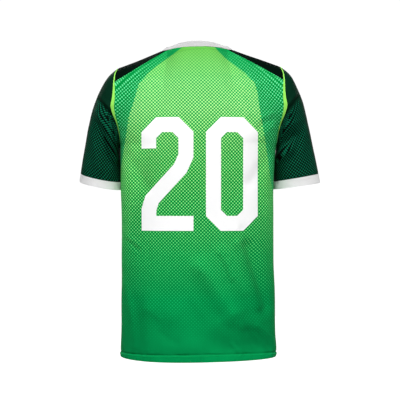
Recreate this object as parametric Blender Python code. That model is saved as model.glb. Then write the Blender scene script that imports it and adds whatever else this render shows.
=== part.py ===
"""Short-sleeved football jersey, worn and hollow.

Units are metres, +Z is up.  The wearer's back faces -Y and the chest +Y, so the
wearer's right arm lies at +X.  The origin is in the neck opening, on the
shoulder line, where the wearer's shoulders carry the garment.
Every panel is a thin wall laid inside one shared outer surface, and the
panels stop SEAM apart where they are sewn together.
"""
import bpy
import numpy as np

# ---------------------------------------------------------------- main sizes
WALL = 0.0014           # knitted cloth
HEM_WALL = 0.0024       # cloth turned up at the hem
RIB_WALL = 0.0021       # doubled rib of the collar and the cuffs
SEAM = 0.0003           # space between two sewn panels
HEM_Z = -0.7320         # lower edge of the body
HEM_BAND = 0.0180       # height of the turned-up band
HEM_STEP = 0.0012       # height of the step above the band
ARMPIT_Z = -0.2280      # height of the underarm points
BODY_SQUARE = 2.35      # superellipse power of the body sections
SLEEVE_SQUARE = 2.10    # superellipse power of the sleeve sections
ARMHOLE_MIDDLE = (0.2600, -0.1350)  # inside the arm: distance from the centre, height
SHOULDER_TILT = 0.0120  # rise of the shoulders towards +X, per metre of width
TILT_FROM = -0.2000     # height where the tilt starts
TILT_OVER = 0.1500      # height over which it comes in
NECK_SHIFT = 0.0045     # how far the neck sits towards -X
NECK_REACH = 0.1300     # distance from the centre over which that fades
HEM_SAG = 0.0020        # how far the hem hangs below its ends at the centre
HEM_LEAN = 1.6          # how much more it does so towards -X
SAG_FROM = -0.5600      # height where the sag starts
SAG_OVER = 0.1600       # height over which it comes in
MITRE_LIMIT = 1.12      # longest corner of a wall, in wall thicknesses
SHARP_ANGLE = 40.0      # degrees between faces that are shaded apart
POINT_STEP = 1e-5       # points closer than this are one point

# ---------------------------------------------------------------- mesh counts
BODY_ROWS = 22          # rows between the hem band and the underarm
CHEST_ROWS = 10         # rows between the underarm and the yoke
HALF_COLS = 17          # columns from the centre line to the side seam
NECK_COLS = 7           # those of them that end at the neckline
YOKE_ROWS = 3           # rows of the yoke on each side of the shoulder line
SLEEVE_ROWS = 14
CUFF_ROWS = 2
COLLAR_ROWS = 2

SECTION_POINTS = 181    # points that measure the run along a body section
NECK_SHARE = NECK_COLS / HALF_COLS

# ---------------------------------------------------------------- surface rules
# Lean of the columns at their upper end, by share of the way to the side.
LEAN_SHARES = (0.0, 0.35, 0.6, 1.0)
LEAN_BACK = (0.42, 0.62, 0.80, 0.74)
LEAN_FRONT = (0.22, 0.50, 0.74, 0.72)
TOP_PULL = 0.9          # strength of that lean, as a share of the column's length
SLOPE_STEP = 0.01       # height over which the slope at the underarm is measured
SIDE_POWER = 2.6        # how fast the armhole's shape fades towards the centre
INSERT_FROM = 0.5       # share where a row starts to give way to the insert
EDGE_SPAN = 0.04        # share of the armhole to each side that gives its direction
EDGE_SHARES = (0.91, 0.94, 0.97)    # columns that give the surface beside it
COLLAR_POWER = 1.5      # how fast the collar changes from its ends to its sides

# ---------------------------------------------------------------- tables
# Body sections: height, reach to the wearer's left and right, depth of back
# and front.
BODY_COLUMNS = ("height", "left", "right", "back", "front")
BODY = (
    (-0.7320, 0.1868, 0.1836, 0.1240, 0.1230),
    (-0.7150, 0.1872, 0.1856, 0.1236, 0.1226),
    (-0.6800, 0.1862, 0.1834, 0.1215, 0.1205),
    (-0.6000, 0.1855, 0.1822, 0.1190, 0.1190),
    (-0.5000, 0.1855, 0.1790, 0.1155, 0.1180),
    (-0.4100, 0.1853, 0.1783, 0.1145, 0.1190),
    (-0.3400, 0.1876, 0.1783, 0.1165, 0.1215),
    (-0.2900, 0.1876, 0.1795, 0.1190, 0.1235),
    (-0.2500, 0.1885, 0.1822, 0.1205, 0.1245),
    (-0.2280, 0.1890, 0.1856, 0.1210, 0.1245),
)

# Armhole, from the underarm up to the corner of the yoke and over the yoke to
# the tip of the shoulder: distance from the centre, depth, height.
ARMHOLE_BACK = (
    (0.1870, 0.0000, -0.2280),
    (0.1872, 0.0260, -0.2190),
    (0.1890, 0.0440, -0.2000),
    (0.1945, 0.0540, -0.1780),
    (0.2026, 0.0610, -0.1580),
    (0.2076, 0.0640, -0.1390),
    (0.2046, 0.0620, -0.1200),
    (0.2030, 0.0560, -0.1000),
    (0.2032, 0.0450, -0.0790),
)
YOKE_END_BACK = (
    (0.2032, 0.0450, -0.0790),
    (0.2010, 0.0230, -0.0560),
    (0.1968, 0.0000, -0.0430),
)
ARMHOLE_FRONT = (
    (0.1870, 0.0000, -0.2280),
    (0.1850, 0.0260, -0.2190),
    (0.1800, 0.0450, -0.1960),
    (0.1755, 0.0555, -0.1660),
    (0.1745, 0.0590, -0.1350),
    (0.1790, 0.0550, -0.1050),
    (0.1880, 0.0450, -0.0790),
)
YOKE_END_FRONT = (
    (0.1880, 0.0450, -0.0790),
    (0.1940, 0.0240, -0.0570),
    (0.1968, 0.0000, -0.0430),
)

# Neckline, from the centre to the corner of the yoke and on to the shoulder
# line: distance from the centre, depth, height.
NECK_BACK = (
    (0.0000, 0.0720, -0.0004),
    (0.0280, 0.0680, -0.0006),
    (0.0520, 0.0540, -0.0017),
    (0.0715, 0.0320, -0.0030),
)
NECK_END_BACK = (
    (0.0715, 0.0320, -0.0030),
    (0.0805, 0.0170, -0.0022),
    (0.0850, 0.0000, -0.0010),
)
NECK_FRONT = (
    (0.0000, 0.0980, -0.0780),
    (0.0340, 0.0920, -0.0700),
    (0.0620, 0.0700, -0.0470),
    (0.0800, 0.0320, -0.0120),
)
NECK_END_FRONT = (
    (0.0800, 0.0320, -0.0120),
    (0.0840, 0.0170, -0.0045),
    (0.0850, 0.0000, -0.0010),
)

# Lower edges of the yoke, from the neckline to the armhole.
YOKE_EDGE_BACK = (
    (0.0715, 0.0320, -0.0030),
    (0.1140, 0.0360, -0.0265),
    (0.1560, 0.0405, -0.0508),
    (0.2032, 0.0450, -0.0790),
)
YOKE_EDGE_FRONT = (
    (0.0800, 0.0320, -0.0120),
    (0.1140, 0.0370, -0.0310),
    (0.1500, 0.0410, -0.0540),
    (0.1880, 0.0450, -0.0790),
)
SHOULDER_LINE = (
    (0.0850, 0.0000, -0.0010),
    (0.1400, 0.0000, -0.0222),
    (0.1968, 0.0000, -0.0430),
)

# Width of the coloured insert round the armhole: share of the way from the
# underarm to the tip of the shoulder, width on the back, width on the front.
INSERT_COLUMNS = ("share", "back", "front")
INSERT = (
    (0.00, 0.0020, 0.0020),
    (0.22, 0.0020, 0.0024),
    (0.36, 0.0038, 0.0028),
    (0.50, 0.0086, 0.0028),
    (0.62, 0.0060, 0.0026),
    (0.74, 0.0038, 0.0024),
    (1.00, 0.0022, 0.0022),
)

# Sleeve sections from the armhole to the cuff, and the lower edge of the cuff:
# outer line and inner line (distance from the centre and height, for each
# arm), middle depth and half depth.
SLEEVE_COLUMNS = ("share", "outer_left", "outer_left_z", "outer_right", "outer_right_z",
                  "inner_left", "inner_right", "inner_z", "middle", "half_depth")
SLEEVE = (
    (0.00, 0.1968, -0.0430, 0.1968, -0.0430, 0.1890, 0.1856, -0.2280, 0.000, 0.0630),
    (0.12, 0.2184, -0.0624, 0.2196, -0.0624, 0.1915, 0.1864, -0.2390, 0.005, 0.0660),
    (0.24, 0.2359, -0.0912, 0.2357, -0.0912, 0.1912, 0.1850, -0.2510, 0.010, 0.0665),
    (0.36, 0.2490, -0.1200, 0.2482, -0.1200, 0.1902, 0.1823, -0.2630, 0.015, 0.0665),
    (0.48, 0.2590, -0.1488, 0.2566, -0.1488, 0.1892, 0.1808, -0.2740, 0.020, 0.0660),
    (0.62, 0.2674, -0.1872, 0.2662, -0.1872, 0.1882, 0.1802, -0.2860, 0.025, 0.0655),
    (0.76, 0.2744, -0.2256, 0.2744, -0.2256, 0.1874, 0.1804, -0.2970, 0.028, 0.0650),
    (0.89, 0.2820, -0.2640, 0.2832, -0.2640, 0.1868, 0.1810, -0.3070, 0.031, 0.0655),
    (1.00, 0.2868, -0.2947, 0.2892, -0.2960, 0.1862, 0.1806, -0.3150, 0.033, 0.0660),
    (1.12, 0.2890, -0.3146, 0.2930, -0.3180, 0.1858, 0.1804, -0.3340, 0.035, 0.0665),
)
CUFF_SHARE = 1.12                               # share at the lower edge of the cuff
BACK_DROP = {"left": -0.0070, "right": -0.0020}  # of the sleeve sections at the cuff

# Rise and inward lean of the collar rib at the back, the sides and the front.
COLLAR_BACK = (0.0142, 0.0050)
COLLAR_SIDE = (0.0092, 0.0115)
COLLAR_FRONT = (0.0125, 0.0060)

# Largest folds: side of the garment, start and end (x, z), half width and
# height above the surface (a trough is negative).
FOLD_COLUMNS = ("side", "x0", "z0", "x1", "z1", "half_width", "height")
FOLDS = (
    ("back", 0.002, -0.516, 0.074, -0.622, 0.0210, 0.0096),
    ("back", 0.053, -0.475, 0.104, -0.572, 0.0120, 0.0030),
    ("back", 0.084, -0.429, 0.141, -0.606, 0.0115, 0.0040),
    ("back", 0.101, -0.429, 0.158, -0.606, 0.0115, -0.0046),
    ("back", 0.046, -0.650, 0.162, -0.642, 0.0200, 0.0042),
    ("back", 0.034, -0.700, 0.165, -0.702, 0.0220, -0.0070),
    ("back", -0.110, -0.599, -0.067, -0.627, 0.0240, 0.0046),
    ("back", -0.078, -0.700, 0.035, -0.702, 0.0200, 0.0030),
    ("back", 0.112, -0.664, 0.160, -0.714, 0.0110, -0.0036),
    ("back", -0.158, -0.610, -0.146, -0.700, 0.0130, 0.0036),
    ("back", -0.170, -0.255, -0.120, -0.330, 0.0140, -0.0030),
    ("back", 0.166, -0.250, 0.120, -0.320, 0.0140, -0.0030),
    ("front", -0.150, -0.250, -0.095, -0.345, 0.0150, -0.0036),
    ("front", 0.150, -0.255, 0.090, -0.340, 0.0140, -0.0036),
    ("front", -0.110, -0.440, -0.035, -0.560, 0.0140, 0.0048),
    ("front", -0.078, -0.428, -0.004, -0.545, 0.0120, -0.0038),
    ("front", 0.030, -0.500, 0.110, -0.610, 0.0150, 0.0046),
    ("front", 0.085, -0.430, 0.140, -0.530, 0.0140, -0.0038),
    ("front", -0.150, -0.560, -0.090, -0.660, 0.0150, -0.0038),
    ("front", 0.020, -0.640, 0.078, -0.702, 0.0130, 0.0028),
    ("sleeve", -0.238, -0.148, -0.200, -0.262, 0.0100, 0.0048),
    ("sleeve", -0.232, -0.186, -0.212, -0.276, 0.0090, -0.0044),
    ("sleeve", -0.262, -0.190, -0.236, -0.290, 0.0100, 0.0034),
    ("sleeve", 0.221, -0.208, 0.184, -0.234, 0.0150, -0.0056),
    ("sleeve", 0.214, -0.243, 0.182, -0.266, 0.0120, 0.0034),
    ("sleeve", 0.256, -0.176, 0.214, -0.284, 0.0100, -0.0030),
)

# Node name, colour, roughness.
LOOKS = {
    "back_panel": ((0.055, 0.400, 0.110), 0.62),
    "front_panel": ((0.055, 0.400, 0.110), 0.62),
    "shoulder_yoke_left": ((0.006, 0.012, 0.009), 0.60),
    "shoulder_yoke_right": ((0.006, 0.012, 0.009), 0.60),
    "armhole_insert_left": ((0.300, 0.800, 0.130), 0.60),
    "armhole_insert_right": ((0.300, 0.800, 0.130), 0.60),
    "sleeve_left": ((0.004, 0.030, 0.018), 0.62),
    "sleeve_right": ((0.004, 0.030, 0.018), 0.62),
    "cuff_left": ((0.670, 0.670, 0.670), 0.70),
    "cuff_right": ((0.670, 0.670, 0.670), 0.70),
    "collar": ((0.670, 0.670, 0.670), 0.70),
}
SIDES = (("left", -1.0), ("right", 1.0))


# ---------------------------------------------------------------- small tools
def column(table, names, name, at):
    """Value of one named column where the first column has the value `at`."""
    rows = sorted(table)
    xs = [row[0] for row in rows]
    ys = [row[names.index(name)] for row in rows]
    slopes = np.gradient(ys, xs)
    i = int(np.clip(np.searchsorted(xs, at) - 1, 0, len(xs) - 2))
    step = xs[i + 1] - xs[i]
    t = np.clip((at - xs[i]) / step, 0.0, 1.0)
    return hermite(ys[i], slopes[i] * step, ys[i + 1], slopes[i + 1] * step, t)


def hermite(p0, m0, p1, m1, t):
    """Cubic from p0 to p1 with the end slopes m0 and m1."""
    return ((2 * t**3 - 3 * t**2 + 1) * p0 + (t**3 - 2 * t**2 + t) * m0
            + (3 * t**2 - 2 * t**3) * p1 + (t**3 - t**2) * m1)


def along(points, t):
    """Point at the share t of the way along a smooth line through the points."""
    pts = np.asarray(points, float)
    steps = np.linalg.norm(np.diff(pts, axis=0), axis=1)
    at = np.concatenate([[0.0], np.cumsum(steps)]) / steps.sum()
    slopes = np.gradient(pts, at, axis=0)
    i = int(np.clip(np.searchsorted(at, t) - 1, 0, len(at) - 2))
    step = at[i + 1] - at[i]
    s = (t - at[i]) / step
    return hermite(pts[i], slopes[i] * step, pts[i + 1], slopes[i + 1] * step, s)


def placed(points, arm, face):
    """A table of (across, depth, height) as world points."""
    return np.asarray(points, float) * np.array([arm, face, 1.0])


def unit(v):
    return v / np.linalg.norm(v)


def eased(share):
    """0 to 1 with level ends, as the share goes from 0 to 1."""
    share = np.clip(share, 0.0, 1.0)
    return 3 * share**2 - 2 * share**3


# ---------------------------------------------------------------- body surface
def body_point(arm, face, share, z):
    """Point of a body section, `share` of the way from the centre to the side."""
    left = column(BODY, BODY_COLUMNS, "left", z)
    right = column(BODY, BODY_COLUMNS, "right", z)
    depth = column(BODY, BODY_COLUMNS, "back" if face < 0 else "front", z)
    half = (left + right) / 2
    middle = (right - left) / 2
    angle = np.linspace(0.0, np.pi / 2, SECTION_POINTS)
    xs = half * np.sin(angle) ** (2 / BODY_SQUARE)
    ys = depth * np.cos(angle) ** (2 / BODY_SQUARE)
    run = np.concatenate([[0.0], np.cumsum(np.hypot(np.diff(xs), np.diff(ys)))])
    x = np.interp(share * run[-1], run, xs)
    y = np.interp(share * run[-1], run, ys)
    return np.array([middle + arm * x, face * y, z])


def top_point(arm, face, share):
    """Point where a column ends: on the neckline, then on the yoke's edge."""
    neck, edge = (NECK_BACK, YOKE_EDGE_BACK) if face < 0 else (NECK_FRONT, YOKE_EDGE_FRONT)
    if share <= NECK_SHARE:
        return along(placed(neck, arm, face), share / NECK_SHARE)
    return along(placed(edge, arm, face), (share - NECK_SHARE) / (1 - NECK_SHARE))


def top_slope(face, share):
    """Direction of a column at its upper end; it leans in over the shoulder."""
    lean = np.interp(share, LEAN_SHARES, LEAN_BACK if face < 0 else LEAN_FRONT)
    return np.array([0.0, -face * lean, np.sqrt(1 - lean**2)])


def chest_column(arm, face, share, t):
    low = body_point(arm, face, share, ARMPIT_Z)
    slope = (low - body_point(arm, face, share, ARMPIT_Z - SLOPE_STEP)) / SLOPE_STEP
    top = top_point(arm, face, share)
    length = np.linalg.norm(top - low)
    return hermite(low, slope * length, top, top_slope(face, share) * length * TOP_PULL, t)


def chest_point(arm, face, share, t):
    """Point of the upper body: 0 <= t <= 1 from the underarm to the top."""
    table = placed(ARMHOLE_BACK if face < 0 else ARMHOLE_FRONT, arm, face)
    side = chest_column(arm, face, 1.0, 0.0) - table[0]
    pull = along(table, t) + side * (1 - t) ** 2 - chest_column(arm, face, 1.0, t)
    return chest_column(arm, face, share, t) + pull * share**SIDE_POWER


def armhole_run(face):
    """Share of the armhole that the panel takes below the yoke."""
    low, high = (ARMHOLE_BACK, YOKE_END_BACK) if face < 0 else (ARMHOLE_FRONT, YOKE_END_FRONT)
    runs = [np.linalg.norm(np.diff(np.asarray(part), axis=0), axis=1).sum() for part in (low, high)]
    return runs[0] / sum(runs)


def insert_edges(surface, arm, face, t, run):
    """Outer and inner edge of the armhole insert, square to the armhole.

    `surface(share, t)` gives a point, `run` the share of the armhole passed.
    """
    low, high = np.clip((t - EDGE_SPAN, t + EDGE_SPAN), -1.0, 1.0)
    near, beside, far = EDGE_SHARES[::-1]
    outer = surface(1.0, t)
    along_edge = unit(surface(1.0, high) - surface(1.0, low))
    across = surface(near, t) - surface(far, t)
    up = surface(beside, high) - surface(beside, low)
    normal = unit(np.cross(across, up))
    away = outer - np.array([arm * ARMHOLE_MIDDLE[0], 0.0, ARMHOLE_MIDDLE[1]])
    away -= normal * np.dot(normal, away)
    away -= along_edge * np.dot(along_edge, away)
    width = column(INSERT, INSERT_COLUMNS, "back" if face < 0 else "front", run)
    return outer, outer + unit(away) * width


def spread(points, shares, inner):
    """Move the outer half of a row so that it ends on the insert's inner edge."""
    move = inner - points[-1]
    weights = np.clip((np.asarray(shares) - INSERT_FROM) / (1 - INSERT_FROM), 0.0, 1.0) ** 2
    return [point + move * weight for point, weight in zip(points, weights)]


def half_row(arm, face, t):
    """One row of the upper body from the centre line out, then the armhole."""
    shares = np.linspace(0.0, 1.0, HALF_COLS + 1)
    row = [chest_point(arm, face, share, t) for share in shares]
    if t == 1.0:
        above, outer = yoke_row(arm, face)
        return row[:NECK_COLS] + above, outer
    outer, inner = insert_edges(lambda share, at: chest_point(arm, face, share, at),
                                arm, face, t, t * armhole_run(face))
    return spread(row, shares, inner), outer


def panel(face):
    """Rows of a body panel from the hem up, from the left side to the right."""
    band = [HEM_Z, HEM_Z + HEM_BAND, HEM_Z + HEM_BAND + HEM_STEP]
    heights = band + list(np.linspace(band[-1], ARMPIT_Z, BODY_ROWS + 1)[1:-1])
    rows = []
    for z in heights:
        shares = np.linspace(0.0, 1.0, HALF_COLS + 1)
        left = [body_point(-1.0, face, share, z) for share in shares[:0:-1]]
        right = [body_point(1.0, face, share, z) for share in shares]
        rows.append(left + right)
    for t in np.linspace(0.0, 1.0, CHEST_ROWS + 1):
        left, _ = half_row(-1.0, face, t)
        right, _ = half_row(1.0, face, t)
        rows.append(left[:0:-1] + right)
    return np.array(rows)


# ---------------------------------------------------------------- yoke surface
def yoke_column(arm, share, t):
    """-1 <= t <= 1 from the back edge of the yoke over the shoulder line."""
    face = -1.0 if t < 0 else 1.0
    low = top_point(arm, face, share)
    ridge = along(placed(SHOULDER_LINE, arm, 1.0), (share - NECK_SHARE) / (1 - NECK_SHARE))
    length = np.linalg.norm(ridge - low)
    over = np.array([0.0, -face, 0.0]) * length
    return hermite(low, top_slope(face, share) * length, ridge, over, 1.0 - abs(t))


def yoke_point(arm, share, t):
    face = -1.0 if t < 0 else 1.0
    neck = NECK_END_BACK if face < 0 else NECK_END_FRONT
    arm_edge = YOKE_END_BACK if face < 0 else YOKE_END_FRONT
    neck_pull = along(placed(neck, arm, face), 1.0 - abs(t)) - yoke_column(arm, NECK_SHARE, t)
    arm_pull = along(placed(arm_edge, arm, face), 1.0 - abs(t)) - yoke_column(arm, 1.0, t)
    across = (share - NECK_SHARE) / (1 - NECK_SHARE)
    return yoke_column(arm, share, t) + neck_pull * (1 - across) ** 2 + arm_pull * across**2


def yoke_row(arm, t):
    """One row of the yoke from the neckline out, then the armhole."""
    face = -1.0 if t < 0 else 1.0
    run = armhole_run(face)
    shares = np.linspace(0.0, 1.0, HALF_COLS + 1)[NECK_COLS:]
    outer, inner = insert_edges(lambda share, at: yoke_point(arm, share, at),
                                arm, face, t, run + (1 - run) * (1 - abs(t)))
    row = [yoke_point(arm, share, t) for share in shares]
    return spread(row, shares, inner), outer


def yoke_rows(arm):
    """Rows across the shoulder from the back edge to the front edge."""
    return [yoke_row(arm, t) for t in np.linspace(-1.0, 1.0, 2 * YOKE_ROWS + 1)]


# ---------------------------------------------------------------- armhole ring
def armhole_rings(arm):
    """Inner and outer ring of the insert, from the underarm up the back."""
    inner = []
    outer = []
    for t in np.linspace(0.0, 1.0, CHEST_ROWS + 1)[:-1]:
        row, edge = half_row(arm, -1.0, t)
        inner.append(row[-1])
        outer.append(edge)
    for row, edge in yoke_rows(arm):
        inner.append(row[-1])
        outer.append(edge)
    for t in np.linspace(1.0, 0.0, CHEST_ROWS + 1)[1:-1]:
        row, edge = half_row(arm, 1.0, t)
        inner.append(row[-1])
        outer.append(edge)
    return np.array(inner), np.array(outer)


def ring_angles(ring):
    """Angle of every point of an armhole ring: pi underarm, 0 shoulder tip."""
    steps = np.linalg.norm(np.diff(np.vstack([ring, ring[:1]]), axis=0), axis=1)
    run = np.concatenate([[0.0], np.cumsum(steps)])[:-1]
    tip = CHEST_ROWS + YOKE_ROWS
    angles = np.empty(len(ring))
    angles[:tip] = np.pi * (1.0 - run[:tip] / run[tip])
    angles[tip:] = -np.pi * (run[tip:] - run[tip]) / (steps.sum() - run[tip])
    return angles


def sleeve_ring(side, arm, angles, share):
    """Section of the sleeve at the given share of its length."""
    def get(name):
        return column(SLEEVE, SLEEVE_COLUMNS, name, share)
    outer = np.array([arm * get("outer_" + side), get("middle"), get("outer_" + side + "_z")])
    inner = np.array([arm * get("inner_" + side), get("middle"), get("inner_z")])
    middle = (outer + inner) / 2
    long_axis = (outer - inner) / 2
    deep_axis = np.array([0.0, -get("half_depth"), BACK_DROP[side] * min(share, 1.0)])
    power = 2 / SLEEVE_SQUARE
    cos = np.sign(np.cos(angles)) * np.abs(np.cos(angles)) ** power
    sin = np.sign(np.sin(angles)) * np.abs(np.sin(angles)) ** power
    return middle + cos[:, None] * long_axis + sin[:, None] * deep_axis


def sleeve(side, arm, ring):
    angles = ring_angles(ring)
    start = ring - sleeve_ring(side, arm, angles, 0.0)
    shares = np.linspace(0.0, 1.0, SLEEVE_ROWS + 1)
    rows = [sleeve_ring(side, arm, angles, s) + start * (1 - s) ** 3 for s in shares]
    cuff_shares = np.linspace(1.0, CUFF_SHARE, CUFF_ROWS + 1)
    cuff = [sleeve_ring(side, arm, angles, s) for s in cuff_shares]
    return np.array(rows), np.array(cuff)


# ---------------------------------------------------------------- collar
def neck_ring(back, front, yokes):
    """Closed neckline: centre back, right, front, left."""
    mid = HALF_COLS
    right = list(back[-1, mid:mid + NECK_COLS]) + [row[0] for row, _ in yokes["right"]]
    over = list(front[-1, mid - NECK_COLS + 1:mid + NECK_COLS])
    left = [row[0] for row, _ in yokes["left"]][::-1]
    rest = list(back[-1, mid - NECK_COLS + 1:mid])
    return np.array(right + over + left + rest)


def collar(ring):
    rows = []
    for share in np.linspace(0.0, 1.0, COLLAR_ROWS + 1):
        row = []
        for point in ring:
            radial = unit(np.array([point[0], point[1], 0.0]))
            side = abs(radial[0]) ** COLLAR_POWER
            ends = COLLAR_BACK if radial[1] < 0 else COLLAR_FRONT
            rise, lean = (np.array(COLLAR_SIDE) * side + np.array(ends) * (1 - side)) * share
            row.append(point - radial * lean + np.array([0.0, 0.0, rise]))
        rows.append(row)
    return np.array(rows)


# ---------------------------------------------------------------- walls
def quads(shape, closed):
    rows, cols = shape
    last = cols if closed else cols - 1
    return [(i * cols + j, i * cols + (j + 1) % cols, (i + 1) * cols + (j + 1) % cols,
             (i + 1) * cols + j) for i in range(rows - 1) for j in range(last)]


def point_key(point):
    return tuple(np.round(point / POINT_STEP).astype(int))


def shared_normals(pieces):
    """Mitred normal of every point, shared by all panels that meet there."""
    faces_at = {}
    for grid, closed, _ in pieces.values():
        pts = grid.reshape(-1, 3)
        for quad in quads(grid.shape[:2], closed):
            a, b, c, d = pts[list(quad)]
            normal = np.cross(c - a, d - b)
            for index in quad:
                faces_at.setdefault(point_key(pts[index]), []).append(normal)
    mitres = {}
    for key, normals in faces_at.items():
        units = [unit(n) for n in normals]
        mean = unit(sum(units))
        opening = np.mean([np.dot(mean, n) for n in units])
        mitres[key] = mean / max(opening, 1 / MITRE_LIMIT)
    return mitres


def hung(grid):
    """Tilt the shoulders, shift the neck and let the hem sag, as it is worn."""
    x, z = grid[..., 0].copy(), grid[..., 2].copy()
    upper = eased((z - TILT_FROM) / TILT_OVER)
    lower = eased((SAG_FROM - z) / SAG_OVER)
    side = x / BODY[0][BODY_COLUMNS.index("left")]
    grid[..., 0] -= NECK_SHIFT * upper * np.exp(-(x / NECK_REACH) ** 4)
    grid[..., 2] += SHOULDER_TILT * x * upper
    grid[..., 2] -= HEM_SAG * (1 - HEM_LEAN * side) * np.clip(1 - side**2, 0.0, 1.0) * lower


def fold_height(side, point):
    total = 0.0
    for fold in FOLDS:
        row = dict(zip(FOLD_COLUMNS, fold))
        if row["side"] != side:
            continue
        start = np.array([row["x0"], row["z0"]])
        run = np.array([row["x1"], row["z1"]]) - start
        off = np.array([point[0], point[2]]) - start
        share = np.dot(off, run) / np.dot(run, run)
        across = abs(run[0] * off[1] - run[1] * off[0]) / np.linalg.norm(run)
        past = max(0.0, -share, share - 1.0) * np.linalg.norm(run)
        total += row["height"] * np.exp(-(across**2 + past**2) / row["half_width"] ** 2)
    return total


def folded(pieces):
    """Raise and sink the shared surface along the folds."""
    normals = shared_normals(pieces)
    for name, (grid, closed, wall) in pieces.items():
        for index in np.ndindex(grid.shape[:2]):
            point = grid[index]
            if name.startswith(("sleeve", "cuff")):
                side = "sleeve"
            else:
                side = "back" if point[1] < 0 else "front"
            normal = unit(normals[point_key(point)])
            lift = fold_height(side, point) * abs(normal[1])
            grid[index] = point + normal * lift


def drawn_in(grid, closed):
    """Offsets that draw the edges of a panel in by half a seam."""
    moves = np.zeros_like(grid)

    def edge(line, inside):
        tangent = np.gradient(line, axis=0)
        tangent /= np.linalg.norm(tangent, axis=1)[:, None]
        inward = inside - line
        inward -= (inward * tangent).sum(axis=1)[:, None] * tangent
        return inward / np.linalg.norm(inward, axis=1)[:, None] * SEAM / 2

    def ring_edge(line, inside):
        wrapped = edge(np.vstack([line[-1:], line, line[:1]]),
                       np.vstack([inside[-1:], inside, inside[:1]]))
        return wrapped[1:-1]

    rule = ring_edge if closed else edge
    moves[0] += rule(grid[0], grid[1])
    moves[-1] += rule(grid[-1], grid[-2])
    if not closed:
        moves[:, 0] += edge(grid[:, 0], grid[:, 1])
        moves[:, -1] += edge(grid[:, -1], grid[:, -2])
    return moves


def walled(grid, closed, wall, mitres):
    """Closed body between the outer grid and the same grid laid inward."""
    rows, cols = grid.shape[:2]
    normals = np.array([[mitres[point_key(p)] for p in row] for row in grid])
    moves = drawn_in(grid, closed)
    outer = (grid + moves).reshape(-1, 3)
    inner = (grid + moves - normals * np.asarray(wall).reshape(-1, 1, 1)).reshape(-1, 3)
    size = rows * cols
    faces = quads((rows, cols), closed)
    faces += [tuple(size + i for i in reversed(quad)) for quad in faces]
    low = list(range(cols))
    high = [(rows - 1) * cols + j for j in range(cols)]
    if closed:
        rims = [low[::-1] + low[-1:], high + high[:1]]
    else:
        left = [i * cols for i in range(rows)]
        right = [i * cols + cols - 1 for i in range(rows)]
        rims = [low[::-1], right[::-1], high, left]
    for rim in rims:
        faces += [(a, b, b + size, a + size) for a, b in zip(rim[:-1], rim[1:])]
    return np.vstack([outer, inner]), faces


def material(name):
    colour, roughness = LOOKS[name]
    mat = bpy.data.materials.new(name)
    mat.use_nodes = True
    shader = mat.node_tree.nodes["Principled BSDF"]
    shader.inputs["Base Color"].default_value = (*colour, 1.0)
    shader.inputs["Roughness"].default_value = roughness
    shader.inputs["Metallic"].default_value = 0.0
    mat.diffuse_color = (*colour, 1.0)
    return mat


def add_object(name, points, faces, home):
    mesh = bpy.data.meshes.new(name)
    mesh.from_pydata([tuple(p) for p in points], [], [tuple(f) for f in faces])
    mesh.validate()
    mesh.update()
    mesh.polygons.foreach_set("use_smooth", [True] * len(mesh.polygons))
    mesh.set_sharp_from_angle(angle=np.radians(SHARP_ANGLE))
    mesh.materials.append(material(name))
    obj = bpy.data.objects.new(name, mesh)
    home.objects.link(obj)
    return obj


def main():
    for obj in list(bpy.data.objects):
        bpy.data.objects.remove(obj)
    home = bpy.data.collections.new("football_jersey")
    bpy.context.scene.collection.children.link(home)

    back = panel(-1.0)
    front = panel(1.0)[:, ::-1]
    hem = [HEM_WALL, HEM_WALL]
    body_wall = hem + [WALL] * (len(back) - len(hem))
    pieces = {
        "back_panel": (back, False, body_wall),
        "front_panel": (front, False, body_wall),
    }
    yokes = {side: yoke_rows(arm) for side, arm in SIDES}
    for side, arm in SIDES:
        turn = -1 if arm < 0 else 1
        yoke = np.array([row for row, _ in yokes[side]])[:, ::turn]
        inner, outer = armhole_rings(arm)
        rows, cuff = sleeve(side, arm, outer)
        pieces["shoulder_yoke_" + side] = (yoke, False, [WALL] * len(yoke))
        pieces["armhole_insert_" + side] = (np.array([inner, outer])[:, ::-turn], True, [WALL] * 2)
        pieces["sleeve_" + side] = (rows[:, ::-turn], True, [WALL] * len(rows))
        pieces["cuff_" + side] = (cuff[:, ::-turn], True, [RIB_WALL] * len(cuff))
    rib = collar(neck_ring(back, front, yokes))
    pieces["collar"] = (rib, True, [RIB_WALL] * len(rib))

    for grid, _, _ in pieces.values():
        hung(grid)
    folded(pieces)
    mitres = shared_normals(pieces)
    for name, (grid, closed, wall) in pieces.items():
        points, faces = walled(grid, closed, wall, mitres)
        add_object(name, points, faces, home)


main()
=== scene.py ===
"""Looks of the football jersey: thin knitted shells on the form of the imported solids.

Axes are the frame's: +Z up, the wearer's back towards -Y.  Lengths are metres, and
millimetres in the tables that pass through mm().  Every shell is worked out from the
same sections as its solid.
"""
import math

import bpy
import numpy as np
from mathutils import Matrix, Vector
from mathutils.bvhtree import BVHTree


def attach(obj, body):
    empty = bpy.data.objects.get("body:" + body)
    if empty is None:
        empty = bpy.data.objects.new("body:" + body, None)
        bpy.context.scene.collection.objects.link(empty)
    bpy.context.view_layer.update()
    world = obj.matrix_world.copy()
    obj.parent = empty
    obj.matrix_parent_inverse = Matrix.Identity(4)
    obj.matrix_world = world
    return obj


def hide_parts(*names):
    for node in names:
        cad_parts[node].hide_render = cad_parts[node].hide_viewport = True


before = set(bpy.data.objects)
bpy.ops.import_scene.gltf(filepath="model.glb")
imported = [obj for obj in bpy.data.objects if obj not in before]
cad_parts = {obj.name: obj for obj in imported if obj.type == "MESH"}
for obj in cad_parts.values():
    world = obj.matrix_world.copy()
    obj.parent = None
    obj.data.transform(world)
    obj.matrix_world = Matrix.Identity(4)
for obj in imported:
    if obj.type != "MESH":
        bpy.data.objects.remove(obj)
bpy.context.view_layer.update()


def mm(*rows):
    """Rows of millimetres as an array of metres."""
    return np.array(rows, float) / 1000


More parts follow.
